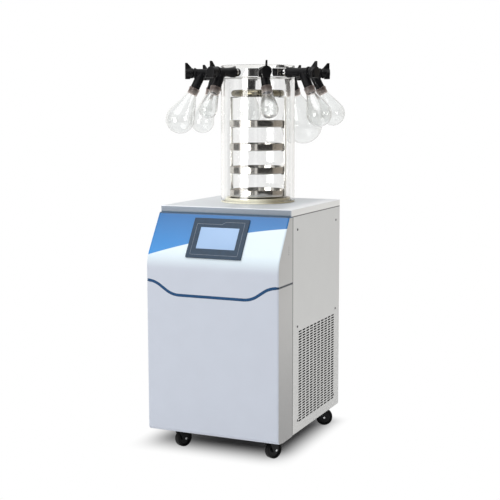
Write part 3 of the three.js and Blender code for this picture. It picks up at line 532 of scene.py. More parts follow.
def prism(outline, low, high, bevel=0.0, steps=3):
    """An outline (x, y) extruded along Z, its two rims rounded by a small bevel."""
    area = sum(a[0] * b[1] - b[0] * a[1] for a, b in zip(outline, outline[1:] + outline[:1]))
    if area < 0:
        outline = outline[::-1]

    def inset(d):
        ring = []
        for i, q in enumerate(outline):
            q = Vector(q)
            before = q - Vector(outline[i - 1])
            after = Vector(outline[(i + 1) % len(outline)]) - q
            inward = Vector((-before.y, before.x)).normalized() + Vector((-after.y, after.x)).normalized()
            inward = inward / max(inward.length_squared / 2, 0.3)
            ring.append((q.x + inward.x * d, q.y + inward.y * d))
        return ring

    levels = [(0, low), (0, high)]
    if bevel > 0:
        turns = [math.pi / 2 * k / steps for k in range(steps + 1)]
        levels = [(bevel * (1 - math.sin(a)), low + bevel * (1 - math.cos(a))) for a in turns]
        levels += [(d, low + high - z) for d, z in reversed(levels)]
    return capped([level(inset(d) if d > 1e-9 else outline, z) for d, z in levels])


def cylinder(radius, low, high, segments=32):
    return lathe([(0, low), (radius, low), (radius, high), (0, high)], segments)


def merged(*parts):
    verts, faces = [], []
    for part_verts, part_faces in parts:
        base = len(verts)
        verts += part_verts
        faces += [tuple(i + base for i in face) for face in part_faces]
    return verts, faces


def turned_by(part, matrix):
    verts, faces = part
    return [tuple(matrix @ Vector(v)) for v in verts], faces


def temp(part, join=None):
    return new_object("temp", new_mesh("temp", *part, join))


def drop(obj):
    mesh = obj.data
    bpy.data.objects.remove(obj)
    bpy.data.meshes.remove(mesh)


def modify(obj, kind, **settings):
    modifier = obj.modifiers.new(kind, kind)
    for key, value in settings.items():
        setattr(modifier, key, value)


def applied(obj):
    """The points and faces of an object with its modifiers applied; the object goes."""
    bpy.context.view_layer.update()
    mesh = obj.evaluated_get(bpy.context.evaluated_depsgraph_get()).to_mesh()
    part = [tuple(v.co) for v in mesh.vertices], [tuple(p.vertices) for p in mesh.polygons]
    drop(obj)
    return part


def boolean(part, *cutters):
    """The part with the cutters taken away."""
    obj = temp(part)
    tools = [temp(cutter) for cutter in cutters]
    for tool in tools:
        modify(obj, "BOOLEAN", operation="DIFFERENCE", solver="EXACT", object=tool)
    out = applied(obj)
    for tool in tools:
        drop(tool)
    return out


def remeshed(part, voxel, smooth):
    """One blended skin round overlapping parts, as a moulding has."""
    obj = temp(part)
    modify(obj, "REMESH", mode="VOXEL", voxel_size=voxel)
    modify(obj, "SMOOTH", iterations=smooth, factor=0.5)
    return applied(obj)


def thickened(sheet, wall, join=None):
    """A sheet with its wall laid on the inner side."""
    obj = temp(sheet, join)
    modify(obj, "SOLIDIFY", thickness=wall, offset=-1)
    return applied(obj)


# -------------------- front shell
def split_points():
    """The split line from left to right, with its knees rounded."""
    out, top = HALF + 5, 2000  # past the cabinet, so that only the knees are rounded
    corners = [(-out, SPLIT_HIGH, 0), (-SPLIT_OUT, SPLIT_HIGH, SPLIT_R), (-SPLIT_IN, SPLIT_LOW, SPLIT_R),
               (SPLIT_IN, SPLIT_LOW, SPLIT_R), (SPLIT_OUT, SPLIT_HIGH, SPLIT_R), (out, SPLIT_HIGH, 0),
               (out, top, 0), (-out, top, 0)]
    return rounded(corners, 0, 24)[:-2]


SPLIT = split_points()
KNEES = [x for x, _ in SPLIT if abs(x) < STRIP_END - 1]


def split_height(x):
    for (x0, z0), (x1, z1) in zip(SPLIT, SPLIT[1:]):
        if x0 <= x <= x1 and x1 > x0:
            return z0 + (z1 - z0) * (x - x0) / (x1 - x0)
    return SPLIT_HIGH


def shell_columns():
    """x of each column from left to right, and how far behind the front it runs: None at the seam."""
    left = [(-HALF, None), (-HALF, EDGE)]
    for k in range(1, 8):
        a = math.radians(90 * k / 8)
        left.append((-HALF + EDGE * (1 - math.cos(a)), EDGE * (1 - math.sin(a))))
    left.append((-STRIP_END, 0.0))
    step = 1e-3  # the shell's edge jumps here to the wider gap of the strip
    flat_end = SPLIT_IN - 40
    flat = [flat_end * (k / 6 - 1) for k in range(13)]
    middle = [-STRIP_END + step, *sorted({round(x, 3) for x in KNEES + flat}), STRIP_END - step]
    return left + [(x, 0.0) for x in middle] + [(-x, d) for x, d in reversed(left)]


def shell(name, rows, mat, node, slot):
    """One moulding of the front. Its rows are (y, z), or "split" and the side of the split line."""
    grid = []
    for y, z in rows:
        row = []
        for x, depth in shell_columns():
            front, height = y, z
            if y == "split":
                front, height = FRONT, SPLIT_HIGH + z * SIDE_GAP
                if abs(x) < STRIP_END:
                    height = split_height(x) + z * STRIP_GAP
            row.append((x, SEAM if depth is None else min(front + depth, SEAM), height))
        grid.append(row)
    sheet = loft(grid, around=False)
    piece(name, *thickened(sheet, SHELL_WALL), mat, stands_for=(node,), slot=slot, sharp=30)


def front_shell():
    cover = [(FRONT + 2 * TOE_R, UNDER)] + arc(FRONT + TOE_R, UNDER + TOE_R, TOE_R, -90, -180, 8)
    cover += [(FRONT, z) for z in (200.0, 350.0, 500.0, 530.0)] + [("split", -1)]
    shell("front_cover_shell", cover, M["cover"], "front_cover", "cover_paint")
    knee_z = SHELL_TOP - (BROW_Y - FRONT) / math.tan(LEAN) - KNEE_R * math.tan(LEAN / 2)
    brow_y = BROW_Y + BROW_R * math.tan((math.pi / 2 - LEAN) / 2)
    console = [("split", 1), (FRONT, 612.0), (FRONT, 630.0)]
    console += arc(FRONT + KNEE_R, knee_z, KNEE_R, 180, 180 - LEAN_DEGREES, 16)
    console += arc(brow_y, SHELL_TOP - BROW_R, BROW_R, 180 - LEAN_DEGREES, 90, 6) + [(SEAM - 1, SHELL_TOP)]
    shell("console_shell", console, M["console"], "console_fascia", "fascia")


front_shell()


def strip():
    """The blue strip: a T-section swept along the split line, its flange behind the shells' edges."""
    flange = BAND + 1.0
    section = [(-BAND, 0), (BAND, 0), (BAND, -1.03), (flange, -1.03), (flange, -1.15), (flange - 0.5, -1.4),
               (0.5 - flange, -1.4), (-flange, -1.15), (-flange, -1.03), (-BAND, -1.03)]
    xs = [0.2 - STRIP_END, *KNEES, STRIP_END - 0.2]
    rings = []
    for before, x, after in zip([xs[0]] + xs, xs, xs[1:] + [xs[-1]]):
        slope = Vector((after - before, split_height(after) - split_height(before))).normalized()
        rings.append([(x - slope.y * s, FRONT + 1.0 + proud, split_height(x) + slope.x * s)
                      for s, proud in section])
    piece("trim_band", *capped(rings), M["strip"], stands_for=("trim_strip",), slot="strip", sharp=40)


strip()


# -------------------- right panel and worktop
def vent_panel():
    """Right panel: a sheet with rows of round-ended slots and folded edges."""
    y0, y1, z0, z1 = SEAM + 0.4, BACK - 1.8, UNDER, SHELL_TOP
    cols, rows = 10, 35
    vent_y0, vent_y1, vent_z0, vent_z1 = -193.0, 161.0, 113.0, 429.4
    w, h = (vent_y1 - vent_y0) / cols / 2, (vent_z1 - vent_z0) / rows / 2  # half a slot's cell
    slot_r = 2.6
    end = 14.0 - slot_r  # centre of the slot's round end
    fold = 14.0
    cell = arc(end, 0, slot_r, -90, 90, 4) + arc(-end, 0, slot_r, 90, 270, 4)
    n = len(cell)
    cell += [(end, -h), (w, -h), (w, 0), (w, h), (end, h), (-end, h), (-w, h), (-w, 0), (-w, -h), (-end, -h)]
    cell_faces = [(k, n + k, n + (k + 1) % n, (k + 1) % n) for k in range(n)]
    columns = [vent_y0 + (2 * i + 1) * w for i in range(cols)]
    lines = [vent_z0 + (2 * j + 1) * h for j in range(rows)]
    parts = [([(HALF, cy + a, cz + b) for a, b in cell], cell_faces) for cy in columns for cz in lines]
    # the four plain fields round the vent share its points
    ys = sorted({round(cy + a, 4) for cy in columns for a in (-w, -end, end, w)})
    zs = sorted({round(cz + b, 4) for cz in lines for b in (-h, 0, h)})
    below = [(y0, z0), (y1, z0), (y1, vent_z0)] + [(y, vent_z0) for y in reversed(ys)] + [(y0, vent_z0)]
    above = [(y0, vent_z1)] + [(y, vent_z1) for y in ys] + [(y1, vent_z1), (y1, z1), (y0, z1)]
    ahead = [(y0, vent_z0)] + [(vent_y0, z) for z in zs] + [(y0, vent_z1)]
    behind = [(y1, vent_z1)] + [(vent_y1, z) for z in reversed(zs)] + [(y1, vent_z0)]
    for field in (below, above, ahead, behind):
        parts.append(([(HALF, *point) for point in field], [tuple(range(len(field)))]))
    parts.append(loft([[(x, *point) for point in box(y0, z0, y1, z1)] for x in (HALF, HALF - fold)]))
    sheet = thickened(merged(*parts), 1.3, 1e-3)
    piece("vented_panel", *sheet, M["side"], stands_for=("right_side_panel",), slot="grey_paint", sharp=30)


vent_panel()


def worktop_piece():
    """Folded steel top with a small outer radius, open below, and the round opening for the trap."""
    half, y0, y1 = HALF + 1, SEAM - 13.6, BACK + 1
    corner, bend, wall, hole_r = 4.0, 1.6, 2.0, 103
    hole = circle(hole_r, 96, AXIS)

    def inset(d):
        return rounded(box(d - half, y0 + d, half - d, y1 - d), max(corner - d, 0.6), 6)

    def flat(outer, z):
        loops = [[Vector(point) for point in level(outline, z)] for outline in (outer, hole)]
        return [point for loop in loops for point in loop], [tuple(t) for t in tessellate_polygon(loops)]

    inner, outer, upper = inset(wall), inset(0), inset(bend)
    rings = [level(inner, WORKTOP_FOOT), level(outer, WORKTOP_FOOT), level(outer, TOP - bend)]
    for k in range(1, 5):
        a = math.radians(90 * k / 4)
        rings.append(level(inset(bend * (1 - math.cos(a))), TOP - bend * (1 - math.sin(a))))
    sheet = merged(loft(rings), flat(upper, TOP), flat(inner, TOP - wall),
                   loft([level(inner, WORKTOP_FOOT), level(inner, TOP - wall)]),
                   loft([level(hole, TOP), level(hole, TOP - wall)]))
    piece("steel_worktop", *sheet, M["steel"], stands_for=("worktop",), slot="steel", sharp=30)


worktop_piece()


# -------------------- display
SCREEN_X, SCREEN_DOWN = 5.0, 90.5  # its middle: from the cabinet's middle, and down the slope


def on_slope(part):
    """A part drawn flat, +Y up the slope and +Z out of it, laid on the console at the screen's place."""
    spot = (SCREEN_X, BROW_Y - SCREEN_DOWN * math.sin(LEAN), SHELL_TOP - SCREEN_DOWN * math.cos(LEAN))
    return turned_by(part, shift(*spot) @ turn(90 - LEAN_DEGREES, "X"))


def bezel_frame():
    """An outer rounded rectangle with a rounded window, its upper edges bevelled."""
    w, h, r, window_w, window_h, window_r = 202, 147, 3.5, 141, 80, 1.2
    low, high, bevel = 0.25, 4.0, 0.9
    outer, window = rect(w, h, r), rect(window_w, window_h, window_r)
    return loft([level(outer, low), level(outer, high - bevel),
                 level(rect(w - 2 * bevel, h - 2 * bevel, r - bevel), high),
                 level(rect(window_w + bevel, window_h + bevel, window_r + bevel / 2), high),
                 level(window, high - bevel), level(window, low)], closed=True)


def inner_line():
    """Thin raised line round the bezel, stepping up near the right end of its top run."""
    half_w, low_y, high_y, step_y = 86, -62, 60, 51
    path = [(-half_w, low_y), (half_w, low_y), (half_w, high_y), (48, high_y), (34, high_y), (18, high_y),
            (4, step_y), (-half_w, step_y)]
    path = rounded(path, 2.0, 3)
    half, low, high = 0.55, 3.9, 4.35
    rings = []
    for i, (x, y) in enumerate(path):
        along = Vector(path[(i + 1) % len(path)]) - Vector(path[i - 1])
        side = Vector((-along.y, along.x)).normalized()
        rings.append([(x + side.x * s, y + side.y * s, z)
                      for s, z in ((-half, low), (-half, high), (half, high), (half, low))])
    return loft(rings, closed=True)


piece("display_frame", *on_slope(bezel_frame()), M["bezel"], stands_for=("display_bezel",), slot="bezel",
      sharp=30)
piece("display_glass", *on_slope(prism(rect(140.4, 79.4, 1.0), 0.6, 3.0, 0.3)), M["screen"],
      stands_for=("touch_screen",), slot="screen", sharp=30)
piece("display_line", *on_slope(inner_line()), M["bezel_line"], slot="bezel", sharp=30)


# -------------------- chamber
def chamber_piece(name, profile, mat, node, slot, segments=128):
    piece(name, *lathe(profile, segments), mat, stands_for=(node,), slot=slot, place=at(0, AXIS, 0))


def tube(low, high, ease, inner_ease):
    """Profile of the chamber wall's width, its corners eased."""
    outer = [(OUTER_R - ease, low), (OUTER_R, low + ease), (OUTER_R, high - ease), (OUTER_R - ease, high)]
    if inner_ease:
        return ([(INNER_R + ease, low)] + outer
                + [(INNER_R + ease, high), (INNER_R, high - ease), (INNER_R, low + ease)])
    return [(INNER_R, low)] + outer + [(INNER_R, high)]


def chamber():
    chamber_piece("base_gasket", tube(*z_of("chamber_gasket"), 0.8, False), M["cream"],
                  "chamber_gasket", "gasket")
    low, high = z_of("trap_ring")
    edge_r, lip_r, edge_x = 3, 2, 111.5
    ring = [(TRAP_R, low)] + arc(edge_x, low + edge_r, edge_r, -90, 0, 4)
    ring += arc(edge_x, high - edge_r, edge_r, 0, 90, 4)
    ring += arc(TRAP_R + lip_r, high - lip_r, lip_r, 90, 180, 4)
    chamber_piece("insulating_ring", ring, M["cream"], "trap_ring", "ring")
    chamber_piece("clear_cylinder", tube(*z_of("chamber_cylinder"), 0.5, True), M["acrylic"],
                  "chamber_cylinder", "acrylic", 160)
    low, high = z_of("lid_gasket")
    chamber_piece("top_gasket", [(INNER_R, low), (OUTER_R, low), (OUTER_R, high), (INNER_R, high)],
                  M["silicone"], "lid_gasket", "gasket")
    low, high = z_of("cold_trap")
    foot_r, flange_r, outer = 3, 116, TRAP_R + TRAP_SHEET
    well = [(0, low)] + arc(outer - foot_r, low + foot_r, foot_r, -90, 0, 6)
    well += [(outer, high - TRAP_SHEET), (flange_r, high - TRAP_SHEET), (flange_r, high), (TRAP_R, high)]
    well += arc(TRAP_R - foot_r, low + TRAP_SHEET + foot_r, foot_r, 0, -90, 6) + [(0, low + TRAP_SHEET)]
    chamber_piece("trap_well", well, M["bright_steel"], "cold_trap", "steel")


chamber()


def lid_piece():
    """Clear lid, hollow below, with a bore for each valve."""
    low, high = z_of("manifold_lid")
    recess, plate, bore_r = 110, 12, 10.25
    profile = [(0, high - plate), (recess - 2, high - plate), (recess, high - plate - 2)]
    profile += [(recess, low + 0.5), (recess + 0.5, low), (OUTER_R - 0.5, low), (OUTER_R, low + 0.5)]
    profile += [(OUTER_R, high - 1.5), (OUTER_R - 0.5, high - 0.5), (OUTER_R - 1.5, high), (0, high)]
    bore = turned_by(cylinder(bore_r, 95, 140, 40), ALONG_X)
    bores = [turned_by(bore, shift(0, 0, VALVE_Z) @ turn(angle, "Z")) for angle in VALVES]
    lid = boolean(lathe(profile, 128), merged(*bores))
    piece("clear_lid", *lid, M["acrylic"], stands_for=("manifold_lid",), slot="acrylic", sharp=30,
          place=at(0, AXIS, 0))


lid_piece()


def trays():
    foot_r, inside_r, bead_r, sheet = 3, 2, 0.75, 1.2
    for i in range(1, 5):
        low, high = z_of(f"tray_{i}")
        h = high - low
        profile = [(0, 0), (TRAY_R - 4, 0)] + arc(TRAY_R - foot_r, foot_r, foot_r, -90, 0, 5)
        profile += [(TRAY_R, h - sheet)] + arc(TRAY_R - bead_r, h - bead_r, bead_r, 0, 180, 5)
        profile += [(98.5, 3)] + arc(96.5, sheet + inside_r, inside_r, 0, -90, 4) + [(0, sheet)]
        piece(f"tray_pan_{i}", *lathe(profile, 128), M["bright_steel"], stands_for=(f"tray_{i}",),
              slot="steel", place=at(0, AXIS, low))


trays()


def rack():
    """Two flat posts on a base bar, with lugs under three trays and under the cap."""
    low, high = z_of("tray_rack")
    tray_floors = [z_of(f"tray_{i}")[0] for i in (2, 3, 4)]
    post_x, half_wide = 103, 8
    post = rounded(box(-1.5, -half_wide, 1.5, half_wide), 0.9, 3)
    posts = [prism([(a + side * post_x, b) for a, b in post], low, high, 0.4) for side in (-1, 1)]
    end = post_x + 1.5
    base = prism(rounded(box(-end, -half_wide, end, half_wide), 1.0, 3), low, low + 3, 0.5)
    piece("rack_frame", *merged(*posts, base), M["post_steel"], stands_for=("tray_rack",), slot="steel",
          place=at(0, AXIS, 0))
    lugs = []
    for side in (-1, 1):
        for top, reach in [(floor - SEAT, 89.5) for floor in tray_floors] + [(high, 78.0)]:
            x0, x1 = sorted((side * reach, side * float(post_x)))
            lugs.append(prism(rounded(box(x0, -5, x1, 5), 1.5, 3), top - 2.5, top, 0.5))
    piece("rack_lugs", *merged(*lugs), M["rubber"], slot="gasket", place=at(0, AXIS, 0))


rack()


def cap():
    """Round cap over the rack, hollow below, with a half-round rim."""
    low, high = z_of("rack_cap")
    half, inside, sheet = (high - low) / 2, 80, 2
    profile = [(inside, low)] + arc(inside + 2, low + half, half, -90, 90, 16)
    profile += [(0, high), (0, high - sheet), (inside, high - sheet)]
    chamber_piece("rack_lid", profile, M["cap_steel"], "rack_cap", "steel")


cap()


# -------------------- valves, knobs and flasks
def valve_mesh():
    """Barrel that swells towards the lid, its collar, and the hanging branch, blended together."""
    spigot, barrel, swell, collar, branch, grip = 10, 15, 17.5, 18.5, 15.8, 14  # radii
    inside, lid_face = 103, 130.7
    body = [(0, inside), (12.5, inside), (12.5, 107), (spigot, 107), (spigot, lid_face), (17, lid_face),
            (swell, lid_face + 0.7), (swell, 142), (17, 146), (15.6, 158), (barrel, 168), (barrel, 213),
            (barrel + 0.8, 216), (collar - 0.3, 217.2), (collar, 218), (collar, 222.6),
            (collar - 0.9, BODY_END), (0, BODY_END)]
    arm = [(0, 0), (16, 0), (branch, 20), (branch, 48), (16, 52), (16, 56.4), (15.4, BRANCH_END),
           (grip + 0.4, BRANCH_END), (grip, 79), (0, 79)]
    hang = shift(BRANCH_START, 0, 0) @ turn(180 - BRANCH_TILT, "Y")
    skin = remeshed(merged(turned_by(lathe(body, 48), ALONG_X), turned_by(lathe(arm, 48), hang)), 1.1, 3)
    return boolean(skin, turned_by(cylinder(8.2, BODY_END - 34, BODY_END + 5, 32), ALONG_X))


def knob_mesh():
    """Hub on a plug, an upright blade, a heel under it and a drooping wing, blended into one moulding."""
    root, face = BODY_END + SEAT, KNOB_FACE
    hub_r, plug_r = 17.8, 7.6
    hub = [(0, root - 6), (7.7, root - 6), (7.7, root + 0.4), (15, root + 0.4), (hub_r - 1.2, root + 2),
           (hub_r, root + 5), (hub_r, face - 2), (hub_r - 1, face - 0.6), (0, face - 0.4)]
    blade = [(root + 5, 0), (face - 0.5, 0), (face - 0.5, 36), (face - 8.5, 36), (root + 9, 20.5),
             (root + 5, 16)]
    blade = prism(rounded(blade, 1.2, 4), -3, 3, 1.0)
    heel = prism(rounded(box(face - 18, -20.5, face - 0.5, 0), 1.4, 4), -13, 13, 1.4)
    wing = [(0, 0, 1), (-15, 0, 3), (-20, -19, 1.6), (-27, -19, 1.6), (-24, 4, 8), (-8, 15.8, 6),
            (0, 15.8, 1)]
    wing = prism(rounded(wing, 2, 5), face - 12, face - 3, 1.5)
    across = Matrix(((0, 0, 1, 0), (1, 0, 0, 0), (0, 1, 0, 0), (0, 0, 0, 1)))
    skin = remeshed(merged(turned_by(lathe(hub, 48), ALONG_X), turned_by(blade, ALONG_Y),
                           turned_by(heel, ALONG_Y), turned_by(wing, across)), 0.9, 3)
    plug = [(0, root - 34), (plug_r - 0.7, root - 34), (plug_r, root - 33), (plug_r, root - 4), (0, root - 4)]
    return merged(skin, turned_by(lathe(plug, 32), ALONG_X))


def flask_part(bulb, length):
    """Pear shape: a straight neck with a rolled mouth, a flowing shoulder and a round bulb."""

    def line(neck, radius, bottom, mouth):
        """From the mouth down to the bottom; the shoulder runs straight into the bulb's tangent."""
        drop_to = bottom - radius - NECK
        tangent = math.acos(radius / math.hypot(neck, drop_to)) + math.atan2(neck, drop_to)
        turns = [tangent + (math.pi - tangent) * k / 24 for k in range(25)]
        ball = [(max(radius * math.sin(a), 0), radius - bottom + radius * math.cos(a)) for a in turns]
        foot = Vector((neck, -NECK))
        slope = Vector(ball[0]) - foot
        bend = min(0.35 * slope.length, 18)
        start, end = Vector((neck, -NECK + min(bend, 7))), foot + slope.normalized() * bend
        steps = [k / 8 for k in range(9)]
        curve = [start * (1 - t) ** 2 + foot * 2 * t * (1 - t) + end * t * t for t in steps]
        ball[-1] = (0, ball[-1][1])
        return mouth + [tuple(point) for point in curve] + ball

    bore, wall = 14.8, 1.8
    bead = [(0.8, 0), (3.2, -0.2), (4.1, -1.4), (4.3, -3.4), (4.1, -5.6), (3.2, -8)]
    outer = line(bore + 3.1, bulb / 2, length, [(bore + r, z) for r, z in bead])
    inner = line(bore, bulb / 2 - wall, length - wall, [(bore, -0.8), (bore, -6)])
    return lathe(outer + inner[::-1], 72)


def manifold():
    """Each valve with its handle and its flask, turned round the lid."""
    valve, knob = valve_mesh(), knob_mesh()
    for i, (kind, tilt) in enumerate(STATIONS, 1):
        place = at(0, AXIS, VALVE_Z, VALVES[i - 1])
        piece(f"valve_handle_{i}", *knob, M["knob"], f"knob_{i}", (f"valve_knob_{i}",), "knob", 50, place)
        place = place @ turn(tilt, "X")
        piece(f"manifold_valve_{i}", *valve, M["valve"], "cabinet", (f"valve_body_{i}",), "valve_rubber", 50,
              place)
        hang = place @ at(BRANCH_START, 0, 0) @ turn(-BRANCH_TILT, "Y") @ at(0, 0, -BRANCH_END - SEAT)
        piece(f"glass_flask_{i}", *flask_part(*KINDS[kind]), M["glass"], "cabinet", (f"flask_{i}",), "glass",
              50, hang, (M["neck"], -NECK * 0.88))


manifold()

# -------------------- casters
CASTERS = [("front_left", -170, FRONT + 98, 65), ("front_right", 170, FRONT + 98, 65),
           ("rear_left", -180, BACK - 26, 20), ("rear_right", 180, BACK - 26, 20)]
TRAIL = 14  # from the swivel's axis to the axle
AXLE_Z = 31 * math.cos(math.pi / 16)


def mirrored(profile):
    """A profile with its reflection in the wheel's middle plane added, to close it."""
    return profile + [(r, -z) for r, z in reversed(profile)]


def fork_part():
    """Crown, hood and two legs in one moulding. The wheel's room stays open under the hood."""
    crown = lathe([(0, 63), (17, 63), (19, 65), (19, 70), (18, 72.4), (15.5, 73.6), (0, 73.6)], 48)
    eye = 9.5
    leg = [(TRAIL - eye, AXLE_Z - eye, 9.4), (TRAIL + eye, AXLE_Z - eye, 9.4), (24, 48, 10), (15, 66, 0),
           (-12, 66, 0), (-9, 52, 10)]
    leg = turned_by(prism(rounded(leg, 3, 8), -1.5, 1.5, 0.8), ALONG_Y)
    legs = [turned_by(leg, shift(0, side * 13.5, 0)) for side in (-1, 1)]
    hood = rounded([(-11, 56, 4), (20, 56, 6), (16, 66, 0), (-12, 66, 0)], 3, 5)
    hood = turned_by(prism(hood, -12.5, 12.5, 0.5, 2), ALONG_Y)
    room = turned_by(cylinder(33, -12, 12, 64), shift(TRAIL, 0, AXLE_Z) @ ALONG_Y)
    return boolean(remeshed(merged(crown, hood, *legs), 0.8, 2), room)


def axle_part():
    """Axle with a hexagon head at one end and a round one at the other."""
    head = [(0, 15), (4.6, 15), (4.6, 16.2), (3.6, 17), (0, 17.2)]
    parts = [turned_by(lathe(head, sides), turn(90 * side, "X")) for side, sides in ((-1, 32), (1, 6))]
    parts.append(turned_by(cylinder(3.5, -15.2, 15.2, 24), ALONG_Y))
    return turned_by(merged(*parts), shift(TRAIL, 0, AXLE_Z))


def caster_pieces():
    tyre_r, corner = 30.3, 2.4
    tyre = [(24, -8), (25, -10)] + arc(27.6, -8, corner, -100, -20, 5) + [(tyre_r, -5)]
    core = [(3.9, -9.5), (8.5, -9.5), (9.5, -8), (10, -6), (22, -5.5), (23.5, -8), (24.3, -8)]
    tyre, core = (turned_by(lathe(mirrored(half), 64), ALONG_Y) for half in (tyre, core))
    fork, axle = fork_part(), axle_part()
    for name, x, y, angle in CASTERS:
        place = at(x, y, 0, angle)
        wheel_place = place @ at(TRAIL, 0, AXLE_Z)
        wheel, swivel = f"wheel_{name}", f"caster_{name}"
        piece(f"wheel_tyre_{name}", *tyre, M["tread"], wheel, (f"caster_wheel_{name}",), "tyre",
              place=wheel_place)
        piece(f"wheel_core_{name}", *core, M["fork"], wheel, slot="tyre", place=wheel_place)
        piece(f"fork_body_{name}", *fork, M["fork"], swivel, (f"caster_fork_{name}",), "fork", 40, place)
        piece(f"axle_bolt_{name}", *axle, M["zinc"], swivel, slot="steel", place=place)


caster_pieces()


# -------------------- small fasteners
def screw_heads():
    """Six domed heads with crossed slots, on the right panel."""
    spots = [(-202, 771), (171, 769), (-201, 445), (170, 446), (-198, 122), (158, 127)]
    r, foot, rim, rise = 4.2, -0.1, 0.5, 1.3
    turns = [math.radians(a) for a in range(15, 90, 15)]
    dome = [(r * math.cos(a), rim + rise * math.sin(a)) for a in turns]
    dome = lathe([(r, foot), (r, rim)] + dome + [(0, rim + rise)], 32, closed=False)
    under = level(circle(r, 32), foot), [tuple(range(32))]
    slots = [prism(rect(w, h, 0.2), 0.9, 3) for w, h in ((4.6, 0.9), (0.9, 4.6))]
    head = turned_by(boolean(merged(dome, under), *slots), ALONG_X)
    heads = [turned_by(head, shift(HALF, y, z)) for y, z in spots]
    piece("panel_screws", *merged(*heads), M["screw"], slot="steel")


screw_heads()

# -------------------- materials on the CAD nodes that stay
KEPT = {"left_side_panel": "side", "rear_panel": "side", "base_pan": "dark_steel", "compressor": "black",
        "condenser": "coil", "fan_shroud": "dark_steel", "fan": "knob", "vacuum_port": "zinc",
        "mains_inlet": "knob"}
for kept, key in KEPT.items():
    materials = nodes[kept].data.materials
    materials.clear()
    materials.append(M[key])


# -------------------- floor, backdrop, light and camera
def stage_material():
    """White floor with a painted shadow. What the camera sees of it is painted dark under the object and in
    a soft shade, which leans to the left, and fades to plain white round it."""
    mat, tree, bsdf = new_material("floor_white", (0.92, 0.92, 0.92), 0.9)
    x, y, z = object_xyz(tree, 1 / MM)
    # the painted shadow: 1 under the object, easing to 0 round it and reaching further out on the left
    shade = fade(x, -370.0, -235.0) * fade(x, 270.0, 142.0) * fade(y, -368.0, -150.0) * fade(y, 330.0, 225.0)
    under = add(tree, "BsdfDiffuse", {"Color": (0.28, 0.28, 0.285, 1)})
    white = add(tree, "Emission", {"Color": (1, 1, 1, 1)})
    view = add(tree, "MixShader", {0: shade, 1: white, 2: under})
    seen = ray(tree, "Camera", "Glossy", "Transmission")
    surface(tree, add(tree, "MixShader", {0: seen, 1: Value(tree, bsdf.outputs[0]), 2: view}))
    return mat


def stage_piece(name, verts, faces, mat):
    """A piece of the set, in metres."""
    mesh = new_mesh(name, verts, faces)
    mesh.materials.append(mat)
    obj = new_object(name, mesh)
    return obj


FLOOR_HALF, FLOOR_Z = 40.0, -0.0005
stage_piece("floor", level(box(-FLOOR_HALF, -FLOOR_HALF, FLOOR_HALF, FLOOR_HALF), FLOOR_Z), [(0, 1, 2, 3)],
            stage_material())

WALL_R, WALL_HIGH = 3.2, 3.2
STRIP_LIGHT = 9.0
# Brightness of the surround by direction, in degrees from straight ahead (-Y) towards +X
FIELDS = [(-180, 0.9), (-130, 1.1), (-91, 1.1), (-86, 0.12), (-60, 0.08), (-52, 0.9), (-8, 0.9), (-2, 0.3),
          (11, 0.3), (14, 0.95), (20, 0.95), (23, 0.05), (82, 0.05), (88, 0.4), (146, 0.42), (152, 0.9),
          (180, 0.9)]
PALE_LIGHT, WARM_LIGHT = (1.0, 0.99, 0.97), (1.0, 0.9, 0.78)  # the field from 88 to 146 degrees is warm


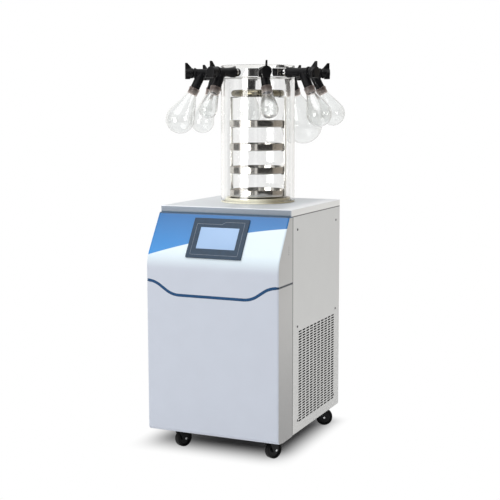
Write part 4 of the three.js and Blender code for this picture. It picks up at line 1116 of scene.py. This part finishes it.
def surround_material():
    """Pale and dark fields, and a tall strip light in front on the left. Only mirror images show
    them; anything seen straight through clear pieces meets plain white."""
    mat = bpy.data.materials.new("surround_fields")
    mat.use_nodes = True
    tree = mat.node_tree
    x, y, height = object_xyz(tree)
    degrees = x.arctan2(y * -1.0) * math.degrees(1)
    fields = add(tree, "ValToRGB", {"Fac": (degrees + 180.0) / 360.0})
    colors = fields.socket.node.color_ramp
    colors.interpolation = "EASE"
    stops = colors.elements
    ends = {-180: 0, 180: -1}  # the ramp has these two stops from the start
    for direction, value in FIELDS:
        stop = stops[ends[direction]] if direction in ends else stops.new((direction + 180) / 360)
        light = WARM_LIGHT if 0.3 < value < 0.5 else PALE_LIGHT
        stop.color = (*[value * c for c in light], 1)
    mirrored_ray = add(tree, "LightPath", out="Glossy Depth") > 0.5
    color = blend(mirrored_ray, (1, 1, 1), fields)
    # the strip light ends where only the worktop and the housing would mirror it
    rising = add(tree, "SeparateXYZ", {0: add(tree, "NewGeometry", out="Incoming")}, 2)
    strip_light = fade(degrees, -34.0, -31.0) * fade(degrees, -6.0, -9.0) * fade(height, 1.8, 1.7)
    strip_light = strip_light * fade(height + rising * WALL_R, 0.85, 0.87)
    strength = strip_light * (mirrored_ray * STRIP_LIGHT) + 1.0
    surface(tree, add(tree, "Emission", {"Color": color, "Strength": strength}))
    return mat


wall_faces = loft([level(circle(WALL_R, 96), z) for z in (0.0, WALL_HIGH)])
wall = stage_piece("surround", *wall_faces, surround_material())
wall.visible_camera = wall.visible_diffuse = wall.visible_shadow = wall.visible_volume_scatter = False


def world():
    """White to the eye; a little dimmer as light."""
    made = bpy.data.worlds.new("studio")
    bpy.context.scene.world = made
    made.use_nodes = True
    tree = made.node_tree
    ambient = 0.72
    background = tree.nodes["Background"]
    background.inputs["Color"].default_value = (1, 1, 1, 1)
    seen = ray(tree, "Camera", "Glossy", "Transmission")
    feed(background.inputs["Strength"], seen * (1 - ambient) + ambient)


world()


def lamp(name, place, aim, size, watts):
    data = bpy.data.lights.new(name, "AREA")
    data.shape = "RECTANGLE"
    data.size, data.size_y = size
    data.energy = watts
    obj = new_object(name, data)
    obj.location = place
    obj.rotation_mode = "QUATERNION"
    obj.rotation_quaternion = (Vector(aim) - Vector(place)).to_track_quat("-Z", "Y")
    obj.visible_camera = False


lamp("softbox_top", (-0.6, -1.6, 3.4), (0, -0.1, 0.8), (2.4, 1.8), 34)
lamp("softbox_left", (-2.6, -2.2, 1.7), (0, 0, 0.7), (1.4, 2.0), 12)


def camera():
    data = bpy.data.cameras.new("camera")
    data.sensor_fit = "HORIZONTAL"
    data.sensor_width = 36.0
    data.lens = 80.05
    data.clip_start, data.clip_end = 0.05, 200
    obj = new_object("camera", data)
    back = Vector((0.40529, -0.90537, 0.12666)).normalized()
    up = back.cross(Vector((0.91283, 0.40833, -0.00208))).normalized()
    aim = Matrix((up.cross(back).normalized(), up, back)).transposed().to_4x4()
    obj.matrix_world = shift(1.58696, -3.59592, 1.16927) @ aim
    bpy.context.scene.camera = obj


camera()
bpy.context.scene.view_settings.view_transform = "Standard"
